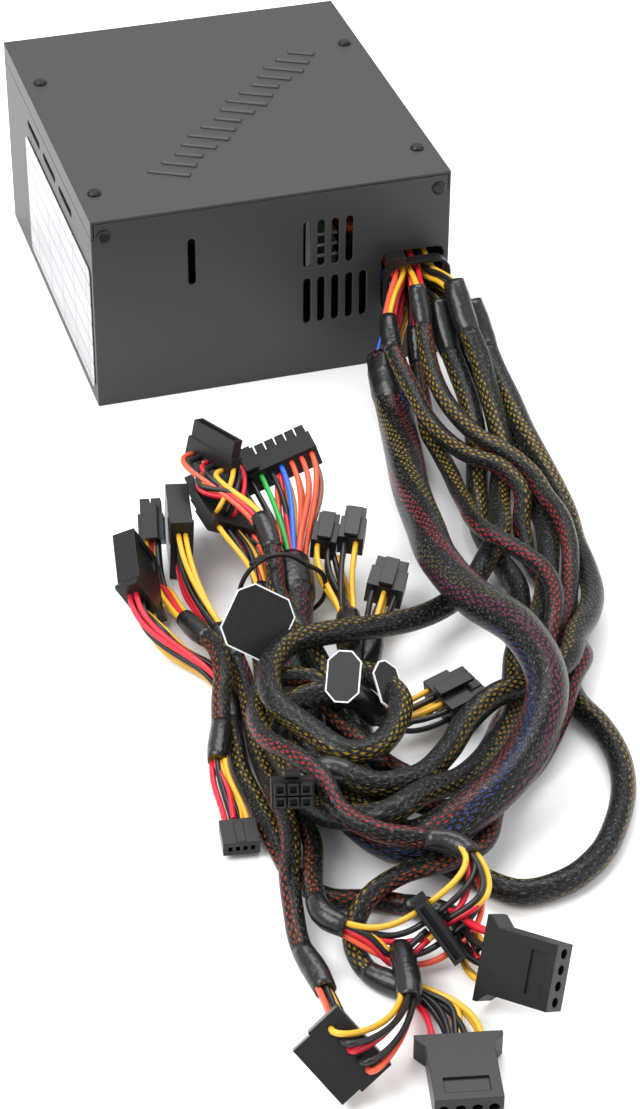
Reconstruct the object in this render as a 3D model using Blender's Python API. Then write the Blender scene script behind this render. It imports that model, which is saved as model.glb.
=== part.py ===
"""Desktop computer power supply: folded steel case, inside parts, bottom fan and sleeved cable harness.

Units are millimetres in the numbers below and metres in the scene. The origin is the bottom centre of
the case, +Z is up, the cables leave the face at -Y and the mains inlet is on the face at +Y.
"""
import math

import bmesh
import bpy
import numpy as np
from mathutils import Euler, Matrix, Vector

MM = 0.001

# Case
CASE_W = 150.0
CASE_D = 165.0
CASE_H = 86.0
SHEET = 1.0
GAP = 0.3
LIP_H = 8.0
LID_FLANGE_H = 11.0
REAR_FLANGE_INSET = 15.0
STANDOFF_H = 6.0
STANDOFF_R = 3.5

# Screws
SCREW_R = 1.5
SCREW_HEAD_R = 2.9
SCREW_HEAD_H = 1.2
LID_SCREW_X = 68.0
LID_SCREW_REAR_Y = 40.0
LID_SCREW_FRONT_Y = -60.0
FRONT_SCREW_X = 70.0
FRONT_SCREW_DROP = 7.0
CHASSIS_HOLE_R = 1.75

# Vents and outlet in the cable face
SLOT_W = 3.2
SLOT_PITCH = 6.0
SLOT_H = 21.5
SLOT_FIRST_X = 14.1
SLOT_ROW_Z = (35.0, 61.5)
SLOT_ROW_COUNT = (5, 4)
LONE_SLOT_X = -34.2
OUTLET_W = 27.0
OUTLET_H = 27.0
OUTLET_SIDE_MARGIN = 2.0
OUTLET_Z = 38.5

# Slots in the side wall
SIDE_SLOT_L = 24.0
SIDE_SLOT_H = 3.4
SIDE_SLOT_PITCH = 30.0
SIDE_SLOT_MID_Y = -5.0
SIDE_SLOT_DROP = 16.0
LABEL_L = 120.0
LABEL_H = 56.0
LABEL_T = 0.3

# Mains side
INLET_X = -50.0
INLET_Z = 60.0
INLET_CUT_W = 27.4
INLET_CUT_H = 19.8
INLET_RIM = 2.2
INLET_DEPTH = 19.0
INLET_WALL = 1.7
SWITCH_Z = 26.0
SWITCH_CUT_W = 19.2
SWITCH_CUT_H = 12.9
SWITCH_RIM = 1.5
SWITCH_DEPTH = 13.0
SWITCH_WALL = 1.2
ROCKER_TILT = 12.0
CELL_PITCH = 12.4
CELL_R = 6.0
VENT_COLUMNS = 7
VENT_ROWS = 5
VENT_FIRST_X = -21.0
VENT_FIRST_Z = 16.0

# Fan
FAN_SIZE = 120.0
FAN_T = 25.0
FAN_DUCT_R = 58.0
FAN_HOLE_SPACING = 105.0
FAN_HOLE_R = 2.2
HUB_R = 20.0
BLADE_COUNT = 7
BLADE_TIP_GAP = 1.5
RECESS_DEPTH = 4.0
RECESS_MARGIN = 5.0
GRILLE_T = 1.6
GRILLE_WIRE = 1.8
GRILLE_STEPS = 5
GRILLE_RINGS = (25.0, 40.0, 55.0)

# Circuit board and what hangs below it
BOARD_W = 142.0
BOARD_T = 1.6
BOARD_REAR_Y = 54.0
BOARD_FRONT_Y = -74.0
HEATSINK_H = 38.0

# Plugs
PIN_PITCH = 4.2
PIN_WALL = 1.2
TOWER_L = 6.0
TOWER_W = 3.6
PIN_HOLE = 2.2
PIN_DEPTH = 4.0

# Cable sleeves: diameters
MAIN_D = 15.0
POWER_D = 8.8
CHAIN_D = 7.0
TUBE_STEP = 2.0
NECK_TIE_D = 1.8
NECK_TIE_Y = -243.0
NECK_TIE_RING = ((-60.5, 11), (-58, 24), (-51, 31), (-42, 31), (-35, 25.5), (-28.2, 19), (-27.6, 9),
                 (-33, 3.4), (-45, 3), (-57, 4))
# Plugs, routes and ties are placed for a case whose front wall is this far from its middle
DRAWN_HALF_D = 82.5
CABLE_GAP = 0.6
LAYER_STEP = 7.0
SETTLE_TURNS = 300


# ---------------------------------------------------------------- helpers

def material(name, colour, roughness, metallic=0.0):
    """A Principled material from a linear colour."""
    made = bpy.data.materials.new(name)
    made.use_nodes = True
    shader = made.node_tree.nodes["Principled BSDF"]
    shader.inputs["Base Color"].default_value = (*colour, 1.0)
    shader.inputs["Roughness"].default_value = roughness
    shader.inputs["Metallic"].default_value = metallic
    made.diffuse_color = (*colour, 1.0)
    return made


def new_object(name, bm, mat=None, smooth=None):
    """A mesh object from a bmesh, shaded smooth below the given edge angle in degrees."""
    bmesh.ops.recalc_face_normals(bm, faces=bm.faces[:])
    mesh = bpy.data.meshes.new(name)
    bm.to_mesh(mesh)
    bm.free()
    obj = bpy.data.objects.new(name, mesh)
    bpy.context.scene.collection.objects.link(obj)
    if mat:
        mesh.materials.append(mat)
    if smooth:
        mesh.shade_smooth()
        mesh.set_sharp_from_angle(angle=math.radians(smooth))
    return obj


def boolean(obj, bm, operation):
    """Cuts or joins the shapes of a bmesh on an object through a wire-drawn tool object."""
    tool = new_object(f"{obj.name}_tool", bm)
    tool.parent = obj
    tool.hide_render = True
    tool.display_type = "WIRE"
    step = obj.modifiers.new(operation.title(), "BOOLEAN")
    step.operation = operation
    step.object = tool
    step.solver = "EXACT"


def add_box(bm, low, high):
    size = [(b - a) * MM for a, b in zip(low, high)]
    middle = [(a + b) / 2 * MM for a, b in zip(low, high)]
    bmesh.ops.create_cube(bm, size=1.0, matrix=Matrix.Translation(middle) @ Matrix.Diagonal((*size, 1.0)))


def box_of(low, high):
    bm = bmesh.new()
    add_box(bm, low, high)
    return bm


def add_prism(bm, outline, start, end, axis="Z"):
    """Extrudes an outline of two-number points between two heights along an axis."""
    turns = {"X": lambda a, b, h: (h, a, b), "Y": lambda a, b, h: (a, h, b), "Z": lambda a, b, h: (a, b, h)}
    turn = turns[axis]
    rings = [[bm.verts.new([v * MM for v in turn(a, b, h)]) for a, b in outline] for h in (start, end)]
    bm.faces.new(rings[0][::-1])
    bm.faces.new(rings[1])
    for i in range(len(outline)):
        j = (i + 1) % len(outline)
        bm.faces.new((rings[0][i], rings[0][j], rings[1][j], rings[1][i]))


def circle(centre, radius, sides, turn=0.0):
    steps = [turn + 2 * math.pi * i / sides for i in range(sides)]
    return [(centre[0] + radius * math.cos(a), centre[1] + radius * math.sin(a)) for a in steps]


def rounded(centre, width, height, radius, steps=2):
    """A rectangle outline with round corners."""
    outline = []
    for turn, (sx, sy) in enumerate(((1, 1), (-1, 1), (-1, -1), (1, -1))):
        corner = (centre[0] + sx * (width / 2 - radius), centre[1] + sy * (height / 2 - radius))
        for i in range(steps + 1):
            angle = math.pi / 2 * (turn + i / steps)
            outline.append((corner[0] + radius * math.cos(angle), corner[1] + radius * math.sin(angle)))
    return outline


def add_turned(bm, profile, sides):
    """Turns (radius, height) points about Z; the first and last points lie on the axis."""
    rings = []
    for radius, height in profile:
        if radius == 0:
            rings.append([bm.verts.new((0, 0, height * MM))])
        else:
            ring = circle((0, 0), radius, sides)
            rings.append([bm.verts.new((x * MM, y * MM, height * MM)) for x, y in ring])
    for lower, upper in zip(rings, rings[1:]):
        for i in range(sides):
            j = (i + 1) % sides
            corners = [lower[i % len(lower)], lower[j % len(lower)]]
            corners += [upper[j % len(upper)], upper[i % len(upper)]]
            bm.faces.new(list(dict.fromkeys(corners)))


def place(obj, location, rotation=(0.0, 0.0, 0.0)):
    obj.location = [v * MM for v in location]
    obj.rotation_euler = Euler([math.radians(a) for a in rotation])
    return obj


# ---------------------------------------------------------------- materials

POWDER_COAT = material("powder_coat_steel", (0.035, 0.035, 0.036), 0.5)
BLACK_SCREW = material("black_screw_steel", (0.03, 0.03, 0.03), 0.35, 1.0)
BLACK_PLASTIC = material("black_plastic", (0.02, 0.02, 0.02), 0.45)
BLACK_NYLON = material("black_nylon_plug", (0.018, 0.018, 0.019), 0.4)
BRAID = material("braided_sleeve", (0.05, 0.045, 0.035), 0.6)
COPPER = material("copper_wire", (0.6, 0.22, 0.08), 0.3, 1.0)
ALUMINIUM = material("aluminium", (0.75, 0.75, 0.76), 0.35, 1.0)
BOARD = material("circuit_board", (0.25, 0.16, 0.05), 0.6)
LABEL = material("printed_label", (0.6, 0.6, 0.6), 0.4)
STEEL_WIRE = material("plated_wire", (0.35, 0.35, 0.36), 0.3, 1.0)
CAN = material("capacitor_can", (0.02, 0.02, 0.05), 0.4)
FERRITE = material("ferrite_and_tape", (0.45, 0.33, 0.05), 0.5)
FILM = material("insulating_film", (0.7, 0.7, 0.68), 0.3)


# ---------------------------------------------------------------- case

HALF_W = CASE_W / 2
HALF_D = CASE_D / 2
LID_Z = CASE_H - SHEET
RIM_HALF_W = HALF_W - SHEET - GAP
STEP_Z = CASE_H - LIP_H - GAP
RAISED_Z = RECESS_DEPTH + SHEET
RECESS_HALF = FAN_SIZE / 2 + RECESS_MARGIN
OUTLET_X = HALF_W - OUTLET_SIDE_MARGIN - OUTLET_W / 2
FRONT_SCREW_Z = CASE_H - FRONT_SCREW_DROP
FRONT_SHIFT = HALF_D - DRAWN_HALF_D
FLANGE_Y = HALF_D - SHEET - GAP


def case_tray():
    """Bottom and four walls of folded sheet; the walls step inwards where the lid's lips lie on them."""
    tray = new_object("case_tray", box_of((-HALF_W, -HALF_D, 0), (HALF_W, HALF_D, STEP_Z)), POWDER_COAT)
    boolean(tray, box_of((-RIM_HALF_W, -HALF_D, STEP_Z - 5), (RIM_HALF_W, HALF_D, LID_Z - GAP)), "UNION")
    inner_w = HALF_W - SHEET
    inner_d = HALF_D - SHEET
    boolean(tray, box_of((-inner_w, -inner_d, SHEET), (inner_w, inner_d, STEP_Z - SHEET)), "DIFFERENCE")
    rim_w = RIM_HALF_W - SHEET
    boolean(tray, box_of((-rim_w, -inner_d, STEP_Z - 5), (rim_w, inner_d, CASE_H + 5)), "DIFFERENCE")
    raised = bmesh.new()
    outer = 2 * RECESS_HALF + 2 * SHEET
    add_prism(raised, rounded((0, 0), outer, outer, 6), 0, RAISED_Z)
    boolean(tray, raised, "UNION")
    recess = bmesh.new()
    add_prism(recess, rounded((0, 0), 2 * RECESS_HALF, 2 * RECESS_HALF, 5), -1, RECESS_DEPTH)
    boolean(tray, recess, "DIFFERENCE")
    boolean(tray, fan_openings(), "DIFFERENCE")
    boolean(tray, cable_face_openings(), "DIFFERENCE")
    boolean(tray, mains_face_openings(), "DIFFERENCE")
    boolean(tray, side_wall_slots(), "DIFFERENCE")


def fan_openings():
    bm = bmesh.new()
    add_prism(bm, circle((0, 0), FAN_DUCT_R, 36), RECESS_DEPTH - 1, RAISED_Z + 1)
    for x, y in fan_corners():
        add_prism(bm, circle((x, y), SCREW_R + GAP, 12), RECESS_DEPTH - 1, RAISED_Z + 1)
    return bm


def fan_corners():
    half = FAN_HOLE_SPACING / 2
    return [(sx * half, sy * half) for sx in (-1, 1) for sy in (-1, 1)]


def slot(bm, x, z, height):
    add_prism(bm, rounded((x, z), SLOT_W, height, SLOT_W / 2 - 0.01), -HALF_D - 1, -HALF_D + SHEET + 1, "Y")


def cable_face_openings():
    bm = bmesh.new()
    for z, count in zip(SLOT_ROW_Z, SLOT_ROW_COUNT):
        for i in range(count):
            slot(bm, SLOT_FIRST_X + i * SLOT_PITCH, z, SLOT_H)
    slot(bm, LONE_SLOT_X, SLOT_ROW_Z[1], SLOT_H)
    outline = rounded((OUTLET_X, OUTLET_Z), OUTLET_W, OUTLET_H, 3)
    add_prism(bm, outline, -HALF_D - 1, -HALF_D + SHEET + 1, "Y")
    for side in (-1, 1):
        outline = circle((side * FRONT_SCREW_X, FRONT_SCREW_Z), SCREW_R + GAP, 12)
        add_prism(bm, outline, -HALF_D - 1, -HALF_D + SHEET + 1, "Y")
    return bm


def chassis_holes():
    """The four threaded holes of the standard 150 by 86 mm face, as (x, z)."""
    left, right = -HALF_W + 6, HALF_W - 6
    return [(right, CASE_H - 6), (left, CASE_H - 6), (right, 16), (left + 24, 6)]


def mains_face_openings():
    bm = bmesh.new()
    low, high = HALF_D - SHEET - 1, HALF_D + 1
    add_box(bm, (INLET_X - INLET_CUT_W / 2, low, INLET_Z - INLET_CUT_H / 2),
            (INLET_X + INLET_CUT_W / 2, high, INLET_Z + INLET_CUT_H / 2))
    add_box(bm, (INLET_X - SWITCH_CUT_W / 2, low, SWITCH_Z - SWITCH_CUT_H / 2),
            (INLET_X + SWITCH_CUT_W / 2, high, SWITCH_Z + SWITCH_CUT_H / 2))
    for x, z in chassis_holes():
        add_prism(bm, circle((x, z), CHASSIS_HOLE_R, 12), low, high, "Y")
    for column in range(VENT_COLUMNS):
        for row in range(VENT_ROWS - column % 2):
            x = VENT_FIRST_X + column * CELL_PITCH
            z = VENT_FIRST_Z + (row + column % 2 / 2) * CELL_PITCH
            add_prism(bm, circle((x, z), CELL_R, 6), low, high, "Y")
    return bm


def side_wall_slots():
    bm = bmesh.new()
    z = CASE_H - SIDE_SLOT_DROP
    for i in (-1, 0, 1):
        y = SIDE_SLOT_MID_Y + i * SIDE_SLOT_PITCH
        outline = rounded((y, z), SIDE_SLOT_L, SIDE_SLOT_H, SIDE_SLOT_H / 2 - 0.01)
        add_prism(bm, outline, -HALF_W - 1, -HALF_W + SHEET + 1, "X")
    return bm


def lid_screw_places():
    return [(side * LID_SCREW_X, y) for y in (LID_SCREW_FRONT_Y, LID_SCREW_REAR_Y) for side in (-1, 1)]


def lid():
    """Top plate with outer side lips, an inner flange at each end and four standoffs for the board."""
    cover = new_object("lid", box_of((-HALF_W, -HALF_D, LID_Z), (HALF_W, HALF_D, CASE_H)), POWDER_COAT)
    extra = bmesh.new()
    for side in (-1, 1):
        edge = side * HALF_W
        inner = side * (HALF_W - SHEET)
        low = (min(edge, inner), -HALF_D, CASE_H - LIP_H)
        add_box(extra, low, (max(edge, inner), HALF_D, LID_Z + SHEET / 2))
    half = RIM_HALF_W - SHEET - 0.5
    add_box(extra, (-half, -FLANGE_Y, CASE_H - LID_FLANGE_H), (half, -FLANGE_Y + SHEET, LID_Z + SHEET / 2))
    half = RIM_HALF_W - REAR_FLANGE_INSET
    add_box(extra, (-half, FLANGE_Y - SHEET, CASE_H - LID_FLANGE_H), (half, FLANGE_Y, LID_Z + SHEET / 2))
    for x, y in lid_screw_places():
        add_prism(extra, circle((x, y), STANDOFF_R, 12), LID_Z - STANDOFF_H, LID_Z + SHEET / 2)
    boolean(cover, extra, "UNION")
    holes = bmesh.new()
    for x, y in lid_screw_places():
        add_prism(holes, circle((x, y), SCREW_R + GAP, 12), LID_Z - STANDOFF_H - 1, CASE_H + 1)
    for side in (-1, 1):
        outline = circle((side * FRONT_SCREW_X, FRONT_SCREW_Z), SCREW_R + GAP, 12)
        add_prism(holes, outline, -HALF_D - 1, -FLANGE_Y + SHEET + 1, "Y")
    boolean(cover, holes, "DIFFERENCE")


def screw(name, length, location, rotation):
    """A pan-head screw; its shank runs along local -Z and its head stands on the plane z = 0."""
    bm = bmesh.new()
    head = [(0, SCREW_HEAD_H), (SCREW_HEAD_R * 0.7, SCREW_HEAD_H), (SCREW_HEAD_R, SCREW_HEAD_H * 0.45)]
    shank = [(SCREW_HEAD_R, GAP), (SCREW_R, GAP), (SCREW_R, -length), (0, -length)]
    add_turned(bm, head + shank, 12)
    place(new_object(name, bm, BLACK_SCREW, 40), location, rotation)


def rating_label():
    y = -HALF_D + 4 + LABEL_L / 2
    z = 6 + LABEL_H / 2
    bm = bmesh.new()
    add_prism(bm, rounded((y, z), LABEL_L, LABEL_H, 3), -HALF_W - GAP - LABEL_T, -HALF_W - GAP, "X")
    new_object("rating_label", bm, LABEL)


# ---------------------------------------------------------------- mains inlet and switch

def ac_inlet():
    """Three-pin appliance inlet: a cup through the wall, its rim outside and three flat pins inside."""
    face = HALF_D + GAP
    rim_t = 2.4
    half_w = INLET_CUT_W / 2 - GAP
    half_h = INLET_CUT_H / 2 - GAP
    back = face + rim_t - INLET_DEPTH
    outline = rounded((INLET_X, INLET_Z), INLET_CUT_W + 2 * INLET_RIM, INLET_CUT_H + 2 * INLET_RIM, 3)
    bm = bmesh.new()
    add_prism(bm, outline, face, face + rim_t, "Y")
    inlet = new_object("ac_inlet", bm, BLACK_PLASTIC)
    boolean(inlet, box_of((INLET_X - half_w, back, INLET_Z - half_h),
                          (INLET_X + half_w, face + rim_t / 2, INLET_Z + half_h)), "UNION")
    cup_w, cup_h = half_w - INLET_WALL, half_h - INLET_WALL
    corner = 4.5
    cup = [(-cup_w, -cup_h), (cup_w, -cup_h), (cup_w, cup_h - corner), (cup_w - corner, cup_h),
           (-cup_w + corner, cup_h), (-cup_w, cup_h - corner)]
    cavity = bmesh.new()
    add_prism(cavity, [(INLET_X + a, INLET_Z + b) for a, b in cup], back + 2.0, face + rim_t + 1, "Y")
    boolean(inlet, cavity, "DIFFERENCE")
    pins = bmesh.new()
    for x, z in ((-7, -2), (0, 2), (7, -2)):
        low = (INLET_X + x - 1, back - 5, INLET_Z + z - 2)
        add_box(pins, low, (INLET_X + x + 1, face - 1, INLET_Z + z + 2))
    boolean(inlet, pins, "UNION")


def switch():
    """Panel rocker switch: a housing through the wall and a rocker that tips about an axis along Z."""
    face = HALF_D + GAP
    rim_t = 1.8
    half_w = SWITCH_CUT_W / 2 - GAP
    half_h = SWITCH_CUT_H / 2 - GAP
    back = face - SWITCH_DEPTH
    bm = bmesh.new()
    add_box(bm, (INLET_X - half_w - SWITCH_RIM, face, SWITCH_Z - half_h - SWITCH_RIM),
            (INLET_X + half_w + SWITCH_RIM, face + rim_t, SWITCH_Z + half_h + SWITCH_RIM))
    housing = new_object("switch_housing", bm, BLACK_PLASTIC)
    boolean(housing, box_of((INLET_X - half_w, back, SWITCH_Z - half_h),
                            (INLET_X + half_w, face + rim_t / 2, SWITCH_Z + half_h)), "UNION")
    well_w, well_h = half_w - SWITCH_WALL, half_h - SWITCH_WALL
    boolean(housing, box_of((INLET_X - well_w, back + SWITCH_WALL, SWITCH_Z - well_h),
                            (INLET_X + well_w, face + rim_t + 1, SWITCH_Z + well_h)), "DIFFERENCE")
    rocker_switch(well_w - GAP - 0.1, well_h - GAP - 0.1, face + rim_t - 4.4)


def rocker_switch(half_w, half_h, pivot_y):
    """A round back about the pivot and two flats that meet at a shallow angle; one end is pressed in."""
    reach = half_w - 0.4
    tilt = math.radians(ROCKER_TILT)
    top = 2.6
    raised_end = top + reach * math.tan(tilt) * 0.9
    outline = [(-reach, raised_end), (0, top), (reach, raised_end)]
    for i in range(1, 8):
        angle = -math.pi * i / 8
        outline.append((reach * math.cos(angle) * 0.92, reach * math.sin(angle) * 0.62))
    bm = bmesh.new()
    add_prism(bm, outline, -half_h, half_h, "Z")
    rocker = new_object("switch_rocker", bm, BLACK_PLASTIC)
    place(rocker, (INLET_X, pivot_y, SWITCH_Z), (0, 0, -ROCKER_TILT))


# ---------------------------------------------------------------- fan

FAN_Z = RAISED_Z + GAP


def fan_frame():
    """Square frame with a round duct, corner holes and a motor base on four struts at its outlet side."""
    bm = bmesh.new()
    add_prism(bm, rounded((0, 0), FAN_SIZE, FAN_SIZE, 5), FAN_Z, FAN_Z + FAN_T)
    frame = new_object("fan_frame", bm, BLACK_PLASTIC)
    holes = bmesh.new()
    add_prism(holes, circle((0, 0), FAN_DUCT_R, 36), FAN_Z - 1, FAN_Z + FAN_T + 1)
    for x, y in fan_corners():
        add_prism(holes, circle((x, y), FAN_HOLE_R, 10), FAN_Z - 1, FAN_Z + FAN_T + 1)
    boolean(frame, holes, "DIFFERENCE")
    base = bmesh.new()
    add_prism(base, circle((0, 0), HUB_R, 24), FAN_Z + FAN_T - 3, FAN_Z + FAN_T)
    boolean(frame, base, "UNION")
    struts = bmesh.new()
    for i in range(4):
        a = math.pi * (i / 2 + 0.25)
        along, across = Vector((math.cos(a), math.sin(a))), Vector((-math.sin(a), math.cos(a))) * 1.6
        inner, outer = along * (HUB_R - 2), along * (FAN_DUCT_R + 1)
        corners = [inner - across, outer - across, outer + across, inner + across]
        add_prism(struts, [tuple(c) for c in corners], FAN_Z + FAN_T - 3.5, FAN_Z + FAN_T - 0.5)
    boolean(frame, struts, "UNION")
    axle = bmesh.new()
    add_prism(axle, circle((0, 0), 2.0, 12), FAN_Z + 8, FAN_Z + FAN_T - 1)
    boolean(frame, axle, "UNION")


def fan_rotor():
    """Hub cup with swept blades; a bore takes the motor's axle."""
    low, high = FAN_Z + 2.5, FAN_Z + FAN_T - 4.5
    bm = bmesh.new()
    add_prism(bm, circle((0, 0), HUB_R, 24), 0, high - low)
    rotor = new_object("fan_rotor", bm, BLACK_PLASTIC)
    blades = bmesh.new()
    tip = FAN_DUCT_R - BLADE_TIP_GAP
    for i in range(BLADE_COUNT):
        fan_blade(blades, 2 * math.pi * i / BLADE_COUNT, tip, high - low)
    bmesh.ops.triangulate(blades, faces=blades.faces[:])
    boolean(rotor, blades, "UNION")
    bore = bmesh.new()
    add_prism(bore, circle((0, 0), 2.0 + GAP, 12), 4.0, high - low + 1)
    boolean(rotor, bore, "DIFFERENCE")
    place(rotor, (0, 0, low))


def fan_blade(bm, start, tip, height):
    """One twisted blade from inside the hub to near the duct wall."""
    thickness = 1.6
    stations = 4
    rings = []
    for k in range(stations + 1):
        radius = HUB_R - 1.5 + (tip - HUB_R + 1.5) * k / stations
        sweep = start + 0.30 * (k / stations) ** 1.5
        chord = 0.62 - 0.10 * k / stations
        ring = []
        for angle, z in ((-chord / 2, 1.5), (chord / 2, height - 1.5)):
            ring.append((sweep + angle, z))
        (a0, z0), (a1, z1) = ring
        shift = thickness / radius
        corners = [(a0, z0), (a0 + shift, z0), (a1 + shift, z1), (a1, z1)]
        rings.append([bm.verts.new((radius * math.cos(a) * MM, radius * math.sin(a) * MM, z * MM))
                      for a, z in corners])
    bm.faces.new(rings[0])
    bm.faces.new(rings[-1][::-1])
    for lower, upper in zip(rings, rings[1:]):
        for i in range(4):
            j = (i + 1) % 4
            bm.faces.new((lower[j], lower[i], upper[i], upper[j]))


def fan_grille():
    """Concentric rings on two crossed bars that end in eyes under the fan's screws."""
    low = RECESS_DEPTH - GAP - GRILLE_T
    bm = bmesh.new()
    add_prism(bm, circle((0, 0), GRILLE_RINGS[-1] + GRILLE_WIRE / 2, 36), low, low + GRILLE_T)
    grille = new_object("fan_grille", bm, STEEL_WIRE)
    arms = bmesh.new()
    for x, y in fan_corners():
        along = Vector((x, y)).normalized()
        across = Vector((-along.y, along.x)) * GRILLE_WIRE * 0.8
        inner, outer = along * (GRILLE_RINGS[-1] - 1), along * (Vector((x, y)).length - 1)
        corners = [inner - across, outer - across, outer + across, inner + across]
        add_prism(arms, [tuple(c) for c in corners], low, low + GRILLE_T)
    boolean(grille, arms, "UNION")
    eyes = bmesh.new()
    for x, y in fan_corners():
        add_prism(eyes, circle((x, y), SCREW_R + GAP + 2.0, 8), low, low + GRILLE_T)
    boolean(grille, eyes, "UNION")
    gaps = bmesh.new()
    bar = GRILLE_WIRE / 2
    for inner, outer in zip((6.0, *GRILLE_RINGS), GRILLE_RINGS):
        near, far = inner + bar, outer - bar
        for quarter in range(4):
            middle = math.pi * quarter / 2
            outline = []
            for radius, order in ((near, 1), (far, -1)):
                span = math.pi / 4 - math.asin(bar / radius)
                for i in range(GRILLE_STEPS + 1):
                    a = middle + order * span * (2 * i / GRILLE_STEPS - 1)
                    outline.append((radius * math.cos(a), radius * math.sin(a)))
            add_prism(gaps, outline, low - 1, low + GRILLE_T + 1)
    for x, y in fan_corners():
        add_prism(gaps, circle((x, y), SCREW_R + GAP, 8), low - 1, low + GRILLE_T + 1)
    boolean(grille, gaps, "DIFFERENCE")


# ---------------------------------------------------------------- board and components

BOARD_TOP = LID_Z - STANDOFF_H - GAP
BOARD_LOW = BOARD_TOP - BOARD_T
HANG_Z = BOARD_LOW - GAP


def circuit_board():
    half = BOARD_W / 2
    panel = box_of((-half, BOARD_FRONT_Y, BOARD_LOW), (half, BOARD_REAR_Y, BOARD_TOP))
    board = new_object("circuit_board", panel, BOARD)
    holes = bmesh.new()
    for x, y in lid_screw_places():
        add_prism(holes, circle((x, y), SCREW_R + GAP, 12), BOARD_LOW - 1, BOARD_TOP + 1)
    boolean(board, holes, "DIFFERENCE")
    half -= 2
    low = LID_Z - STANDOFF_H / 2
    panel = box_of((-half, BOARD_FRONT_Y + 2, low), (half, BOARD_REAR_Y - 2, low + 0.4))
    sheet = new_object("insulator_sheet", panel, FILM)
    clear = bmesh.new()
    for x, y in lid_screw_places():
        add_prism(clear, circle((x, y), STANDOFF_R + GAP, 12), low - 1, low + 2)
    boolean(sheet, clear, "DIFFERENCE")


def heatsink(name, x, y_front, y_rear, fins, fin_side):
    """A plate that hangs from the board with fins along one side of its lower half."""
    low = HANG_Z - HEATSINK_H
    sink = new_object(name, box_of((x - 1.5, y_front, low), (x + 1.5, y_rear, HANG_Z)), ALUMINIUM)
    comb = bmesh.new()
    for i in range(fins):
        z = low + 1 + i * 5.0
        add_box(comb, (min(x, x + fin_side * 12), y_front, z), (max(x, x + fin_side * 12), y_rear, z + 1.4))
    boolean(sink, comb, "UNION")


def toroid(name, location, major, minor, rotation, mat):
    """A wound ring core."""
    bm = bmesh.new()
    around, section = 16, 6
    rings = []
    for i in range(around):
        a = 2 * math.pi * i / around
        ring = []
        for b in (2 * math.pi * k / section for k in range(section)):
            radius = major + minor * math.cos(b)
            spot = (radius * math.cos(a), radius * math.sin(a), minor * math.sin(b))
            ring.append(bm.verts.new(Vector(spot) * MM))
        rings.append(ring)
    for i in range(around):
        for k in range(section):
            near, far = rings[i], rings[(i + 1) % around]
            bm.faces.new((near[k], far[k], far[(k + 1) % section], near[(k + 1) % section]))
    place(new_object(name, bm, mat, 60), location, rotation)


def can(name, location, radius, height):
    """An electrolytic capacitor that hangs from the board."""
    bm = bmesh.new()
    add_turned(bm, [(0, 0), (radius, 0), (radius, -height + 1), (radius - 1, -height), (0, -height)], 20)
    place(new_object(name, bm, CAN, 40), location)


def inside_parts():
    circuit_board()
    heatsink("primary_heatsink", -24.0, -50.0, 35.0, 4, -1)
    heatsink("secondary_heatsink", 20.0, -66.0, 20.0, 4, 1)
    bm = bmesh.new()
    add_box(bm, (-13, -30, HANG_Z - 32), (9, 6, HANG_Z))
    transformer = new_object("main_transformer", bm, FERRITE)
    boolean(transformer, box_of((-17, -20, HANG_Z - 26), (13, -4, HANG_Z - 4)), "UNION")
    can("bulk_capacitor", (-54, -40, HANG_Z), 15.0, HANG_Z - FAN_Z - FAN_T - 4.5)
    toroid("pfc_choke", (-55, 8, HANG_Z - 17), 11.0, 5.5, (90, 0, 30), COPPER)
    toroid("output_choke", (45, -58, HANG_Z - 14.5), 9.0, 5.0, (90, 0, 0), COPPER)
    can("output_capacitor", (56, -30, HANG_Z), 6.0, 26.0)


# ---------------------------------------------------------------- plugs

class Plug:
    """Where a plug lies: its wire face is centred on the place and it points along its heading."""

    def __init__(self, x, y, z, heading, pitch=0.0, roll=0.0):
        self.place = Vector((x, y - FRONT_SHIFT, z))
        turn = Matrix.Rotation(math.radians(heading), 3, "Z")
        turn = turn @ Matrix.Rotation(math.radians(pitch), 3, "X")
        self.turn = turn @ Matrix.Rotation(math.radians(roll), 3, "Y")

    def at(self, x, y, z):
        return self.place + self.turn @ Vector((x, y, z))

    def put(self, obj):
        obj.matrix_world = Matrix.Translation(self.place * MM) @ self.turn.to_4x4()


PLUGS = {
    "plug_main_24pin": Plug(-36, -184, 22.4, 1, 2, -18),
    "plug_sata_a": Plug(-54.4, -181, 27, -59, 73, -3),
    "plug_sata_b": Plug(-52, -210, 20.5, 8, 4, 32),
    "plug_drive_c": Plug(-95, -236, 14.4, -9, 16, 66),
    "plug_cpu_c": Plug(-81.5, -199, 14, -12, 41, -5),
    "plug_drive_d": Plug(-72.5, -208, 14.4, -10, 4, 92),
    "plug_cpu_a": Plug(-22.5, -224.5, 16, -26, 8, 4),
    "plug_cpu_b": Plug(-13, -228, 18.4, -26, 14, 4),
    "plug_graphics_c": Plug(-8, -253, 12, -30, 8, 8),
    "plug_graphics_b": Plug(-9, -318, 12, -75, 6),
    "plug_graphics_a": Plug(-77, -367, 31, 166, 34),
    "plug_floppy": Plug(-91, -350, 5, 172, 0),
    "plug_sata_c": Plug(-44, -419.5, 9.6, 163, 37, 126),
    "plug_sata_d": Plug(-84, -467, 20, 102, -33, 134),
    "plug_drive_a": Plug(-53, -465, 5, 168, 0),
    "plug_drive_b": Plug(-35.2, -441.6, 14.3, 216, 14, 56),
}


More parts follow.
